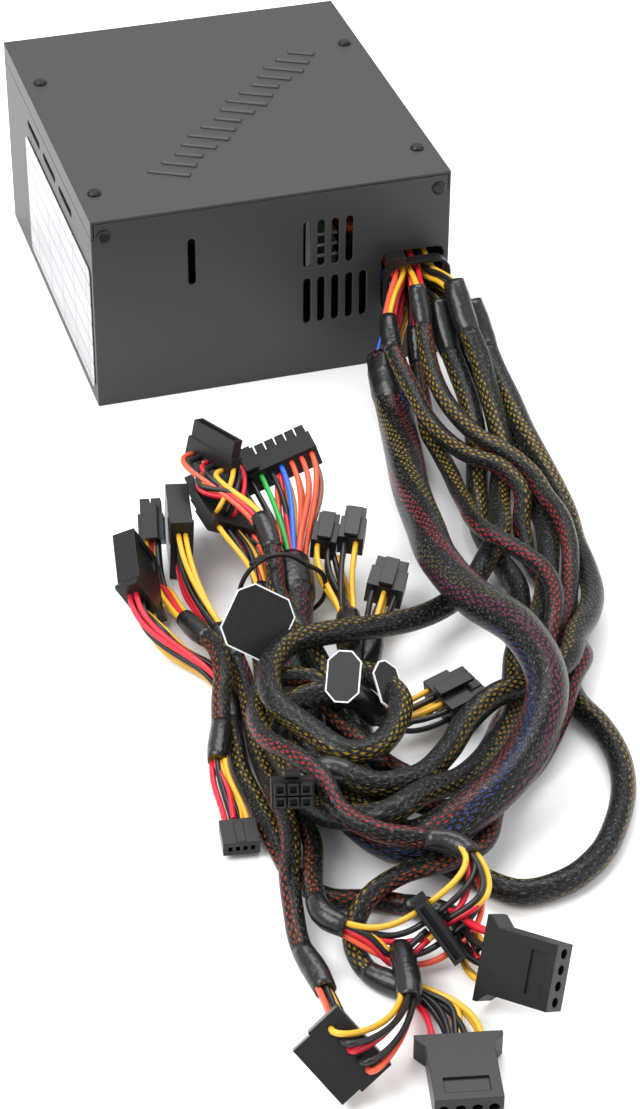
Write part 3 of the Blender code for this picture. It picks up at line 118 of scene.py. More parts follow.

# %% [markdown]
# ## Routes of the cables
#
# Each cable is a list of points with a least height and a layer. The points are
# settled: cables sink on to the floor and on each other until none cuts another.

# %% Cable routes
GAP = 0.3
MAIN_D = 15.0
POWER_D = 8.8
CHAIN_D = 7.0
TUBE_STEP = 2.0
CABLE_GAP = 0.6
LAYER_STEP = 7.0
SETTLE_TURNS = 300
WIRE_FACE = ((0, -0.4, 0), (0, -1, 0))
CABLES = {
    "cable_graphics_c": (POWER_D, None, ("plug_graphics_c", *WIRE_FACE), [
        (62, -107, 41, 4), (62, -120, 30, 4), (62, -132, 20, 4), (62, -147, 10, 2), (59, -165, 0, 0),
        (55, -183, 0, 0), (50, -204, 0, 0), (46, -225, 0, 0), (42, -248, 0, 0), (41, -270, 0, 0),
        (40, -295, 0, 0), (42, -322, 0, 0), (45, -338, 0, 0), (45, -352, 0, 0), (41, -368, 0, 0),
        (33, -383, 0, 0), (23, -396, 0, 0), (10, -405, 0, 0), (-2, -409, 0, 0), (-13, -407, 0, 0),
        (-21, -396, 0, 0), (-27, -385, 0, 0), (-36, -376, 0, 0), (-41, -352, 0, 1), (-38, -320, 0, 1),
        (-31, -292, 0, 1), (-20, -274, 2, 1)]),
    "cable_sata_a": (CHAIN_D, None, ("plug_sata_a", (0, 6, 6.2), (0.8, -0.3, 0.6)), [
        (41, -107, 37, 6), (39, -118, 32, 6), (39, -134, 24, 6), (40, -147, 17, 5), (41, -160, 12, 5),
        (44, -173, 8, 5), (49, -185, 8, 5), (54, -197, 8, 4), (57, -208, 6, 4), (59, -218, 0, 3),
        (61, -232, 0, 3), (61, -246, 0, 3), (60, -264, 0, 3), (55, -284, 0, 2), (46, -304, 0, 2),
        (36, -324, 0, 3), (18, -346, 0, 3), (-6, -362, 0, 2), (-30, -366, 0, 2), (-44, -352, 0, 3),
        (-50, -325, 0, 3), (-52, -292, 0, 3), (-50, -262, 0, 4), (-46, -240, 16, 4), (-44, -222, 23, 4),
        (-49, -206, 32, 4)]),
    "cable_main": (MAIN_D, None, ("plug_main_24pin", (8, -3.2, 0), (-0.15, -1, -0.25)), [
        (39, -110, 20, 2), (37, -122, 13, 2), (35, -138, 0, 1), (29, -167, 0, 1), (22, -196, 0, 1),
        (18, -223, 0, 1), (14, -252, 0, 4), (14, -277, 4, 6), (18, -295, 8, 8), (22, -311, 10, 8),
        (23, -328, 10, 8), (19, -346, 10, 8), (11, -361, 10, 8), (1, -375, 10, 8), (-11, -385, 10, 8),
        (-22, -389, 8, 6), (-33, -388, 0, 2), (-46, -380, 0, 0), (-54, -366, 0, 0),
        (-59, -342, 0, 0), (-55, -308, 0, 0),
        (-47, -276, 0, 0), (-41, -248, 0, 1), (-37, -230, 8, 1), (-33, -213, 17, 1)]),
    "cable_cpu": (POWER_D, None, ("plug_cpu_a", (5, -2.6, 0), (0.4, -1, -0.2)), [
        (69, -107, 48.5, 6), (69, -123, 38, 6), (70, -135, 30, 6), (70, -148, 22, 5), (70, -160, 14, 4),
        (68, -173, 6, 2), (64, -188, 0, 1), (56, -206, 0, 1), (46, -226, 0, 1), (36, -242, 0, 1),
        (26, -254, 0, 1), (10, -267, 0, 2), (-9, -278, 6, 6), (-26, -284, 10, 8), (-40, -285, 12, 8),
        (-51, -287, 12, 9), (-60, -292, 12, 9), (-66, -302, 12, 9), (-67, -315, 12, 9), (-64, -326, 12, 9),
        (-60, -336, 10, 9), (-56, -344, 10, 9), (-51, -350, 8, 9), (-45, -353, 8, 8), (-39, -346, 6, 8),
        (-35, -336, 6, 7), (-34, -323, 6, 6), (-36, -311, 6, 5), (-31, -290, 6, 5), (-25, -268, 6, 5),
        (-21, -254, 8, 5)]),
    "cable_graphics_a": (POWER_D, None, ("plug_graphics_a", *WIRE_FACE), [
        (77, -107, 38, 5), (78, -120, 28, 5), (77, -135, 24, 5), (76, -152, 18, 5), (75, -169, 14, 5),
        (75, -187, 8, 4), (75, -205, 6, 4), (74, -222, 0, 4), (71, -241, 0, 4), (65, -261, 0, 4),
        (57, -282, 0, 4), (47, -305, 0, 4), (36, -320, 0, 4), (24, -325, 0, 4), (14, -326, 0, 4),
        (3, -331, 0, 5), (-8, -341, 0, 6), (-21, -355, 0, 7), (-36, -364, 0, 8), (-52, -362, 12, 8),
        (-66, -350, 16, 8)]),
    "cable_graphics_b": (POWER_D, None, ("plug_graphics_b", (0, -0.8, 0), (0, -1, 0)), [
        (70, -107, 28, 3), (73, -118, 18, 3), (74, -135, 8, 3), (74, -152, 4, 3), (74, -169, 0, 3),
        (73, -188, 0, 3), (70, -210, 0, 3), (65, -232, 0, 3), (59, -254, 0, 3), (51, -276, 0, 3),
        (40, -293, 0, 3), (30, -301, 0, 3), (23, -309, 0, 3), (18, -327, 0, 4), (8, -343, 0, 4),
        (-6, -356, 0, 5), (-19, -372, 0, 5), (-31, -383, 0, 5), (-45, -387, 0, 5),
        (-56, -375, 0, 4), (-66, -360, 0, 4),
        (-73, -343, 0, 4), (-73, -325, 0, 6), (-64, -314, 0, 6), (-50, -312, 8, 6),
        (-36, -314, 8, 6)]),
    "cable_sata_b": (CHAIN_D, None, ("plug_sata_c", (0, 7, -3.2), (0, 0, -1)), [
        (53, -107, 50, 5), (53, -114, 42, 5), (51, -124, 34, 5), (49, -138, 26, 5), (49, -152, 20, 5),
        (51, -164, 16, 5), (55, -176, 14, 5), (60, -188, 12, 5), (64, -198, 10, 5), (66, -211, 8, 5),
        (65, -228, 8, 5), (62, -246, 8, 5), (59, -262, 6, 5), (54, -278, 0, 4), (46, -292, 0, 3),
        (36, -305, 0, 3), (24, -314, 0, 3), (10, -330, 0, 2), (-4, -346, 0, 2), (-20, -354, 0, 2),
        (-35, -346, 0, 2), (-45, -328, 0, 2), (-52, -306, 0, 3), (-62, -297, 0, 3), (-70, -308, 0, 4),
        (-75, -323, 0, 4), (-76, -338, 0, 4), (-74, -354, 0, 3), (-67, -371, 0, 3), (-60, -380, 0, 4),
        (-53, -388, 6, 5), (-40, -394, 10, 5), (-28, -402, 14, 5)]),
    "cable_drive_a": (CHAIN_D, None, ("plug_drive_a", *WIRE_FACE), [
        (53, -107, 30, 3), (50, -121, 18, 3), (46, -137, 8, 3), (42, -157, 0, 3), (43, -170, 0, 3),
        (42, -187, 0, 3), (40, -208, 0, 3), (38, -228, 0, 3), (40, -243, 0, 3), (44, -253, 0, 3),
        (48, -263, 0, 3), (48, -276, 0, 3), (42, -296, 12, 3), (30, -322, 0, 3), (12, -346, 0, 3),
        (-8, -368, 0, 3), (-30, -386, 0, 3), (-62, -402, 0, 3), (-66, -416, 0, 2), (-62, -432, 0, 1)]),
    "link_drive_b": (CHAIN_D, ("plug_drive_b", (0, -2.8, 0), (-0.27, -0.72, -0.63)),
                     ("plug_drive_c", (0, -2.4, 0), (0, -1, 0.6)), [
        (-36, -416, 4, 0), (-48, -404, 0, 0), (-62, -396, 0, 1), (-78, -380, 0, 2),
        (-77, -350, 0, 2), (-76, -320, 0, 2), (-72, -290, 0, 2), (-77, -264, 4, 2)]),
    "link_sata_d": (CHAIN_D, ("plug_sata_d", (0, 7, 3.2), (0, 0, 1)), ("plug_drive_d", *WIRE_FACE), [
        (-86, -430, 0, 2), (-88, -412, 0, 3), (-82, -388, 0, 3), (-77, -368, 0, 2), (-76, -350, 0, 1),
        (-76, -318, 0, 1), (-68, -286, 0, 1), (-70, -258, 4, 2), (-75, -238, 10, 2)]),
    "link_sata_c": (CHAIN_D, ("plug_sata_c", (0, 7, 3.2), (0, 0, 1)), ("plug_sata_b", *WIRE_FACE), [
        (-74, -418, 0, 4), (-80, -402, 0, 4), (-78, -385, 0, 3), (-72, -362, 0, 1), (-70, -335, 0, 1),
        (-67, -306, 0, 2), (-60, -276, 0, 2), (-52, -246, 12, 3)]),
    "link_floppy": (CHAIN_D, ("plug_floppy", *WIRE_FACE), ("plug_cpu_c", *WIRE_FACE), [
        (-85, -322, 0, 4), (-80, -302, 0, 4), (-76, -282, 0, 4), (-77, -262, 0, 4),
        (-79.5, -243, 8, 4), (-81, -226, 8, 3)]),
}


def smooth_curve(points, step=1.0):
    """Points about one step apart on a centripetal Catmull-Rom curve, each with its place in the list."""
    points = np.array(points, float)
    padded = np.vstack([2 * points[0] - points[1], points, 2 * points[-1] - points[-2]])
    curve = []
    for i in range(1, len(padded) - 2):
        p = padded[i - 1:i + 3]
        chord = np.maximum(np.linalg.norm(np.diff(p, axis=0), axis=1), 1e-6)
        t = np.concatenate([[0.0], np.cumsum(chord ** 0.5)])
        count = max(2, int(np.linalg.norm(p[2] - p[1]) / step))
        for k in range(count):
            u = t[1] + (t[2] - t[1]) * k / count
            a = [p[j] + (p[j + 1] - p[j]) * (u - t[j]) / (t[j + 1] - t[j]) for j in range(3)]
            b = [a[j] + (a[j + 1] - a[j]) * (u - t[j]) / (t[j + 2] - t[j]) for j in range(2)]
            curve.append([*(b[0] + (b[1] - b[0]) * (u - t[1]) / (t[2] - t[1])), i - 1 + k / count])
    curve.append([*padded[-2], len(points) - 1.0])
    return np.array(curve)


def route_of(diameter, start, end, points):
    """The tube's own points as an array of x, y, least height and layer."""
    points = [list(p) for p in points]
    for which, place in ((0, start), (-1, end)):
        if place is None:
            continue
        name, offset, direction = place
        layer = points[which][3]
        tip = PLUGS[name].at(*offset)
        lead = PLUGS[name].at(*(a + 14 * b for a, b in zip(offset, direction)))
        if which == 0:
            points[:0] = [[*tip, layer], [*lead, layer]]
        else:
            points += [[*lead, layer], [*tip, layer]]
    floor = diameter / 2 + GAP
    places = [(x, y, max(z, floor)) for x, y, z, layer in points]
    curve = smooth_curve(places)
    along = np.concatenate([[0.0], np.cumsum(np.linalg.norm(np.diff(curve[:, :3], axis=0), axis=1))])
    count = int(round(along[-1] / (TUBE_STEP * diameter)))
    stations = np.linspace(0, along[-1], count + 1)
    route = np.stack([np.interp(stations, along, curve[:, k]) for k in range(4)], axis=1)
    route[:, 3] = [points[int(round(i))][3] for i in route[:, 3]]
    route[:, 2] = np.maximum(route[:, 2], floor)
    return route


def sample_pairs(spots, radius, cable, number):
    """The pairs of samples of different cables, or of far parts of one cable, that nearly touch."""
    apart = np.linalg.norm(spots[:, None] - spots[None], axis=2)
    near = np.triu(apart < radius[:, None] + radius[None] + 4.0, 1)
    near &= (cable[:, None] != cable[None]) | (np.abs(number[:, None] - number[None]) > 3)
    return np.nonzero(near)


def lay_cables(cables):
    """Lets the cables sink on to the floor and each other from their layers until none cuts another."""
    routes = [route_of(*cable) for cable in cables.values()]
    first = np.cumsum([0] + [len(r) for r in routes])
    spots = np.concatenate([r[:, :3] for r in routes])
    floor = np.concatenate([r[:, 2] for r in routes])
    fixed = np.zeros(len(spots), bool)
    inner = np.ones(len(spots), bool)
    for k, (diameter, start, end, points) in enumerate(cables.values()):
        spots[first[k]:first[k + 1], 2] += k * 0.4
        fixed[[first[k], first[k] + 1, first[k + 1] - 2, first[k + 1] - 1]] = True
        inner[[first[k], first[k + 1] - 1]] = False
        for where in (0, 1, -2, -1):
            spots[first[k:k + 2][0 if where >= 0 else 1] + where, 2] = routes[k][where, 2]
        free = slice(first[k] + 2, first[k + 1] - 2)
        spots[free, 2] += routes[k][2:-2, 3] * LAYER_STEP
    home = spots.copy()
    parts = 6
    spans = [np.arange(first[k], first[k + 1] - 1) for k in range(len(routes))]
    low = np.concatenate([np.repeat(span, parts) for span in spans])
    share = np.tile((np.arange(parts) + 0.5) / parts, len(low) // parts)[:, None]
    cable = np.searchsorted(first, low, side="right") - 1
    radius = np.array([c[0] / 2 for c in cables.values()])[cable]
    for turn in range(SETTLE_TURNS):
        late = turn > SETTLE_TURNS * 0.7
        if turn % 10 == 0:
            near, far = sample_pairs(spots[low] * (1 - share) + spots[low + 1] * share, radius, cable, low)
        if not late:
            spots[:, 2] -= 0.3
        spots[:, :2] += (home[:, :2] - spots[:, :2]) * (0.02 if late else 0.05)
        middle = (np.roll(spots, 1, axis=0) + np.roll(spots, -1, axis=0)) / 2
        spots[inner] += (middle - spots)[inner] * (0.0, 0.0, 0.1 if late else 0.25)
        for _ in range(3):
            at = spots[low] * (1 - share) + spots[low + 1] * share
            gap = at[near] - at[far]
            apart = np.maximum(np.linalg.norm(gap, axis=1), 1e-6)
            short = radius[near] + radius[far] + CABLE_GAP - apart
            hit = short > 0
            push = (gap / apart[:, None] * short[:, None] * 0.5)[hit]
            move = np.zeros_like(spots)
            weight = np.full(len(spots), 1e-9)
            for which, sign in ((near[hit], 1), (far[hit], -1)):
                for step, part in ((0, 1 - share[which]), (1, share[which])):
                    np.add.at(move, low[which] + step, sign * push * part)
                    np.add.at(weight, low[which] + step, part[:, 0])
            spots += move / np.maximum(weight, 0.5)[:, None] * 1.3
            spots[:, 2] = np.maximum(spots[:, 2], floor)
            spots[fixed] = home[fixed]
    return {name: spots[first[k]:first[k + 1]] for k, name in enumerate(cables)}

# %% [markdown]
# ## Tubes as meshes
#
# A sleeve, a shrunk end and a wire are all round tubes along a path. A curve with a bevel would
# do, but its pattern could not follow the braid. So we build rings of points along the path and
# store a UV map: u goes once round, v is the distance along in metres.

# %% Rings along a path


class Strands:
    """Collects tubes along paths into one mesh; a tube's slot is its material."""

    def __init__(self):
        self.points, self.faces, self.marks, self.slots, self.count = [], [], [], [], 0

    def add(self, path, radius, slot=0, sides=8):
        path = np.asarray(path, float)
        step = np.linalg.norm(np.diff(path, axis=0), axis=1)
        along = np.concatenate([[0.0], np.cumsum(step)])
        tangent = np.gradient(path, axis=0)
        tangent /= np.maximum(np.linalg.norm(tangent, axis=1), 1e-9)[:, None]
        side = np.cross(tangent[0], (0.1, 0.2, 1.0))
        sides_out = []
        for t in tangent:
            side = side - t * side.dot(t)
            side = side / max(np.linalg.norm(side), 1e-9)
            sides_out.append(side)
        out = np.array(sides_out)
        up = np.cross(tangent, out)
        turn = 2 * np.pi * np.arange(sides) / sides
        shape = (len(path),) if np.ndim(radius) < 2 else np.shape(radius)
        radius = np.broadcast_to(np.asarray(radius, float), shape)
        reach = radius[:, None] if radius.ndim == 1 else radius
        ring = out[:, None] * np.cos(turn)[None, :, None] + up[:, None] * np.sin(turn)[None, :, None]
        spots = path[:, None] + ring * reach[:, :, None]
        self.points.append(spots.reshape(-1, 3))
        for i in range(len(path) - 1):
            for k in range(sides):
                j = (k + 1) % sides
                a, b = self.count + i * sides, self.count + (i + 1) * sides
                self.faces.append((a + k, a + j, b + j, b + k))
                u0, u1, v0, v1 = k / sides, (k + 1) / sides, along[i], along[i + 1]
                self.marks += [(u0, v0), (u1, v0), (u1, v1), (u0, v1)]
                self.slots.append(slot)
        last = self.count + (len(path) - 1) * sides
        for first, order in ((self.count, -1), (last, 1)):
            self.faces.append(tuple(first + k for k in range(sides))[::order])
            self.marks += [(0.0, 0.0)] * sides
            self.slots.append(slot)
        self.count += len(path) * sides

    def make(self, name, mats):
        mesh = bpy.data.meshes.new(name)
        mesh.from_pydata(np.concatenate(self.points).tolist(), [], self.faces)
        layer = mesh.uv_layers.new(name="run")
        layer.data.foreach_set("uv", np.array(self.marks, float).ravel())
        for mat in mats:
            mesh.materials.append(mat)
        mesh.polygons.foreach_set("material_index", self.slots)
        mesh.polygons.foreach_set("use_smooth", [len(f) == 4 for f in self.faces])
        mesh.update()
        piece = bpy.data.objects.new(name, mesh)
        bpy.context.scene.collection.objects.link(piece)
        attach(piece, "case")
        return piece


def rounded_ends(count, radius, shoulder=3):
    """A radius for each ring that swells from a lip at both ends, as a shrunk sleeve does."""
    values = np.full(count, radius)
    for k in range(min(shoulder, count // 2)):
        values[k] = values[-1 - k] = radius * (0.86 + 0.14 * k / shoulder)
    return values


# %% [markdown]
# ## Finishes
#
# Every finish is a small node tree. One function turns an sRGB hex colour to linear, and one adds
# a node with its settings and links; the rest is a matter of choosing the right pattern and size.

# %% Node helpers


def linear(code):
    """An sRGB hex colour as the linear RGBA that a socket takes."""
    values = [int(code[i:i + 2], 16) / 255 for i in (1, 3, 5)]
    return (*[v / 12.92 if v <= 0.04045 else ((v + 0.055) / 1.055) ** 2.4 for v in values], 1.0)


def add(mat, kind, inputs=None, **settings):
    """Adds one node; an input is a value, or a node and the name or number of its output."""
    tree = mat.node_tree
    made = tree.nodes.new("ShaderNode" + kind)
    for key, value in settings.items():
        setattr(made, key, value)
    for key, value in (inputs or {}).items():
        if isinstance(value, tuple) and isinstance(value[0], bpy.types.Node):
            tree.links.new(value[0].outputs[value[1]], made.inputs[key])
        else:
            made.inputs[key].default_value = value
    return made


def finish(name, **sockets):
    """A new material with a Principled shader whose sockets are set; returns it and the shader."""
    mat = bpy.data.materials.new(name)
    mat.use_nodes = True
    shader = mat.node_tree.nodes["Principled BSDF"]
    for key, value in sockets.items():
        shader.inputs[key.replace("_", " ")].default_value = value
    return mat, shader


def join(mat, source, output, target, socket):
    mat.node_tree.links.new(source.outputs[output], target.inputs[socket])


def mottled(name, dark, light, scale, detail=3.0, bump=None, **sockets):
    """A finish whose colour drifts between two hex colours; bump is a strength and a depth."""
    mat, shader = finish(name, **sockets)
    spots = add(mat, "TexCoord")
    drift = add(mat, "TexNoise", {"Vector": (spots, "Object"), "Scale": scale, "Detail": detail})
    shade = add(mat, "Mix", {"Factor": (drift, "Fac"), "A": linear(dark), "B": linear(light)},
                data_type="RGBA")
    join(mat, shade, "Result", shader, "Base Color")
    if bump:
        relief = add(mat, "Bump", {"Height": (drift, "Fac"), "Strength": bump[0], "Distance": bump[1]})
        join(mat, relief, "Normal", shader, "Normal")
    return mat, shader


print("node helpers ready")


# %% [markdown]
# ### Powder coat on steel
#
# The box is sprayed with polyester powder and baked. It gives a satin black skin with a very fine
# orange peel; the folds shine a little, so the normal is rounded there.

# %% Powder coat
coat, shader = finish("black_polyester_powder_coat", Roughness=0.42, IOR=1.5)
spots = add(coat, "TexCoord")
peel = add(coat, "TexNoise", {"Vector": (spots, "Object"), "Scale": 1400.0, "Detail": 2.0})
cloud = add(coat, "TexNoise", {"Vector": (spots, "Object"), "Scale": 18.0, "Detail": 3.0})
tint = add(coat, "Mix", {"Factor": (cloud, "Fac"), "A": linear("#202122"), "B": linear("#28292a")},
           data_type="RGBA")
folds = add(coat, "Bevel", {"Radius": 0.0009}, samples=4)
skin = add(coat, "Bump", {"Height": (peel, "Fac"), "Strength": 0.12, "Distance": 0.0003,
                          "Normal": (folds, "Normal")})
gloss = add(coat, "MapRange", {"Value": (peel, "Fac"), "To Min": 0.36, "To Max": 0.52})
join(coat, tint, "Result", shader, "Base Color")
join(coat, gloss, "Result", shader, "Roughness")
join(coat, skin, "Normal", shader, "Normal")

# %% [markdown]
# ### Moulded plastics
#
# Plugs are nylon (PA66), the inlet and switch PBT, the fan ABS. All are nearly black; what tells
# them apart is their sheen and how fine the spark-eroded grain of the mould is.

# %% Nylon, PBT and ABS
PLASTICS = {"black_moulded_nylon_66": ("#0f0f10", "#181819", 0.36, 900.0),
            "black_moulded_pbt": ("#0d0d0e", "#141415", 0.34, 1300.0),
            "black_moulded_abs": ("#0f1011", "#17181a", 0.3, 700.0)}
plastic = {}
for name, (dark, light, rough, grain) in PLASTICS.items():
    mat, shader = finish(name, Roughness=rough, IOR=1.53, Specular_IOR_Level=0.3)
    spots = add(mat, "TexCoord")
    noise = add(mat, "TexNoise", {"Vector": (spots, "Object"), "Scale": grain, "Detail": 3.0})
    flow = add(mat, "TexNoise", {"Vector": (spots, "Object"), "Scale": 90.0, "Detail": 2.0})
    shade = add(mat, "Mix", {"Factor": (flow, "Fac"), "A": linear(dark), "B": linear(light)},
                data_type="RGBA")
    edge = add(mat, "Bevel", {"Radius": 0.0004}, samples=4)
    bump = add(mat, "Bump", {"Height": (noise, "Fac"), "Strength": 0.15, "Distance": 0.0002,
                             "Normal": (edge, "Normal")})
    join(mat, shade, "Result", shader, "Base Color")
    join(mat, bump, "Normal", shader, "Normal")
    plastic[name] = mat
nylon, pbt, abs_black = plastic.values()

# %% [markdown]
# ### PVC wire insulation
#
# Each wire has a soft, slightly glossy PVC skin in a colour that tells its voltage: yellow is
# 12 V, red 5 V, orange 3.3 V and black is ground.

# %% Wire colours
WIRE_COLOURS = {"yellow": "#e0ab30", "red": "#cc2034", "orange": "#e6583a", "green": "#2aa544",
                "blue": "#2c66d2", "brown": "#8a5a42", "black": "#161617", "grey": "#77787c",
                "purple": "#6b4fb0", "white": "#d9d7d2"}
wire_mats = []
for name, code in WIRE_COLOURS.items():
    mat, shader = finish(f"{name}_pvc_insulation", Roughness=0.34, IOR=1.52, Specular_IOR_Level=0.35)
    shader.inputs["Subsurface Weight"].default_value = 0.0 if name == "black" else 0.08
    shader.inputs["Subsurface Radius"].default_value = (0.001, 0.0008, 0.0006)
    spots = add(mat, "TexCoord")
    noise = add(mat, "TexNoise", {"Vector": (spots, "Object"), "Scale": 160.0, "Detail": 2.0})
    dark = tuple(v * 0.78 for v in linear(code)[:3]) + (1.0,)
    shade = add(mat, "Mix", {"Factor": (noise, "Fac"), "A": dark, "B": linear(code)}, data_type="RGBA")
    bump = add(mat, "Bump", {"Height": (noise, "Fac"), "Strength": 0.1, "Distance": 0.0003})
    join(mat, shade, "Result", shader, "Base Color")
    join(mat, bump, "Normal", shader, "Normal")
    wire_mats.append(mat)
WIRE_SLOT = {name: k for k, name in enumerate(WIRE_COLOURS)}

# %% [markdown]
# ### Braided sleeve
#
# The sleeve is a net of black polyester monofilament. Its threads run round in two crossing
# spirals, and the wires inside show through the small diamonds between them. Both spirals are
# made from the tube's own UV map, so the net follows every bend. The threads are drawn a little
# coarser than real ones so that they show.

# %% Braid
THREAD_SLANT = 0.55  # below one, so the two spirals cross at less than a right angle
WIRE_TWIST = 3.4  # turns in a metre that the wires inside make


def braid(name, threads, diameter, colours):
    """A braid of that many threads each way on a tube of that diameter, over twisted wires."""
    mat, shader = finish(name, Roughness=0.32, IOR=1.57, Specular_IOR_Level=0.16)
    uv = add(mat, "UVMap", uv_map="run")
    part = add(mat, "SeparateXYZ", {"Vector": (uv, "UV")})
    pitch = threads / (math.pi * diameter) * THREAD_SLANT
    round_ = add(mat, "Math", {0: (part, "X"), 1: float(threads)}, operation="MULTIPLY")
    run = add(mat, "Math", {0: (part, "Y"), 1: pitch}, operation="MULTIPLY")
    heights = []
    for way in ("ADD", "SUBTRACT"):
        spiral = add(mat, "Math", {0: (round_, 0), 1: (run, 0)}, operation=way)
        wave = add(mat, "Math", {0: (spiral, 0), 1: 1.0}, operation="PINGPONG")
        heights.append(add(mat, "MapRange", {"Value": (wave, 0), "From Min": 0.42, "From Max": 0.62,
                                             "To Min": 0.0, "To Max": 1.0}))
    net = add(mat, "Math", {0: (heights[0], 0), 1: (heights[1], 0)}, operation="MAXIMUM")
    twist = add(mat, "Math", {0: (part, "Y"), 1: WIRE_TWIST}, operation="MULTIPLY")
    around = add(mat, "Math", {0: (part, "X"), 1: (twist, 0)}, operation="ADD")
    strand = add(mat, "Math", {0: (around, 0), 1: 1.0}, operation="FLOORED_MODULO")
    ramp = add(mat, "ValToRGB", {"Fac": (strand, 0)})
    ramp.color_ramp.interpolation = "CONSTANT"
    stops = ramp.color_ramp.elements
    while len(stops) < len(colours):
        stops.new(1.0)
    for k, code in enumerate(colours):
        stops[k].position = k / len(colours)
        stops[k].color = linear(code)
    thread = add(mat, "TexNoise", {"Vector": (uv, "UV"), "Scale": 60.0, "Detail": 2.0})
    dull = add(mat, "Mix", {"Factor": (thread, "Fac"), "A": linear("#040404"), "B": linear("#121211")},
               data_type="RGBA")
    # Painted highlights: a small share of the thread colour is lifted to light grey in fine spots, standing in
    # for glints of light on the glossy threads.
    painted_glint_noise = add(mat, "TexNoise", {"Vector": (uv, "UV"), "Scale": 420.0, "Detail": 1.0})
    glint = add(mat, "MapRange", {"Value": (painted_glint_noise, "Fac"), "From Min": 0.65, "From Max": 0.71})
    black = add(mat, "Mix", {"Factor": (glint, "Result"), "A": (dull, "Result"), "B": linear("#9a9a94")},
                data_type="RGBA")
    colour = add(mat, "Mix", {"Factor": (net, 0), "A": (ramp, "Color"), "B": (black, "Result")},
                 data_type="RGBA")
    bump = add(mat, "Bump", {"Height": (net, 0), "Strength": 0.7, "Distance": 0.0006})
    join(mat, colour, "Result", shader, "Base Color")
    join(mat, bump, "Normal", shader, "Normal")
    return mat


main_braid = braid("polyester_braid_over_many_wires", 40, 0.015,
                   ("#6b5a1c", "#0e0d0d", "#7c1626", "#121111", "#3c3518", "#5b1638", "#0f0f0f",
                    "#1c2b5c", "#6d1a20", "#131211"))
power_braid = braid("polyester_braid_over_yellow_and_black", 25, 0.0088,
                    ("#7c6414", "#100f0e", "#141312", "#6a5616", "#0f0e0d", "#171615"))
chain_braid = braid("polyester_braid_over_five_colours", 20, 0.007,
                    ("#7c6214", "#111010", "#8a1620", "#0f0e0d", "#7c3014", "#151413"))

# %% [markdown]
# ### Shrunk sleeve ends
#
# Polyolefin tube is slid over each end of a braid and shrunk with hot air. It is glossy, and
# shows the wires and threads below as soft lumps.

# %% Heat-shrink
shrink, shader = finish("black_shrunk_polyolefin", Roughness=0.27, IOR=1.5, Specular_IOR_Level=0.4)
spots = add(shrink, "TexCoord")
lumps = add(shrink, "TexNoise", {"Vector": (spots, "Object"), "Scale": 260.0, "Detail": 2.0})
# Painted highlights: fine noise lifts the near-black colour to a lighter grey in small spots, standing in for
# glints of light on the glossy tube.
painted_highlight_noise = add(shrink, "TexNoise", {"Vector": (spots, "Object"), "Scale": 900.0, "Detail": 4.0})
shade = add(shrink, "Mix", {"Factor": (painted_highlight_noise, "Fac"), "A": linear("#101011"), "B": linear("#1e1e20")},
            data_type="RGBA")
bump = add(shrink, "Bump", {"Height": (lumps, "Fac"), "Strength": 0.5, "Distance": 0.0008})
join(shrink, shade, "Result", shader, "Base Color")
join(shrink, bump, "Normal", shader, "Normal")

# %% [markdown]
# ## Laying the cables
#
# The cables rest on the floor and on each other. Their settled routes are the same ones that the
# rigid frame was made from, so each braid lies exactly where its solid lies.

# %% Settle the cables
SMOOTH = 2.0  # millimetres between the rings of a sleeve
laid = {}
for name, spots in lay_cables(CABLES).items():
    laid[name] = smooth_curve(spots, SMOOTH)[:, :3]
    laid[name][:, 2] = np.maximum(laid[name][:, 2], CABLES[name][0] / 2 + 0.1)


def length_of(path):
    return float(np.linalg.norm(np.diff(path, axis=0), axis=1).sum())


print("settled, mm", {name: round(length_of(path)) for name, path in laid.items()})


def cut_at(path, distance):
    """The number of the ring that lies that far from the path's start."""
    along = np.concatenate([[0.0], np.cumsum(np.linalg.norm(np.diff(path, axis=0), axis=1))])
    return int(np.searchsorted(along, distance))


# %% [markdown]
# ### Sleeves and shrunk ends
#
# A braid stops short of its plug. Its wires come out there, and a shrunk tube covers the cut
# threads. The sleeve is not quite round, because the wires press it into three soft ridges.

# %% Sleeves, shrunk ends and the wires near a plug
CORE_RADIUS = 1.05
SLEEVE_SIDES = 24
# How far each cable is bare at its start and end, in millimetres
BARE = {"cable_main": (0, 44), "cable_sata_a": (0, 42), "cable_cpu": (0, 34), "cable_graphics_a": (0, 16),
        "cable_graphics_b": (0, 24), "cable_graphics_c": (0, 20), "cable_sata_b": (0, 34),
        "cable_drive_a": (0, 30),
        "link_drive_b": (26, 52), "link_sata_d": (34, 44), "link_sata_c": (32, 30), "link_floppy": (30, 48)}
CORES = {"cable_main": ("yellow", "red", "orange", "black", "blue"), "cable_cpu": ("yellow", "black", "yellow"),
         "cable_graphics_a": ("yellow", "black", "yellow"), "cable_graphics_b": ("yellow", "yellow", "black"),
         "cable_graphics_c": ("yellow", "black", "yellow"), "link_floppy": ("yellow", "red", "black")}
CHAIN_CORES = ("yellow", "black", "red")
BRAIDS = {MAIN_D: main_braid, POWER_D: power_braid, CHAIN_D: chain_braid}
sleeves, ends, sleeve_end = {}, {}, {}
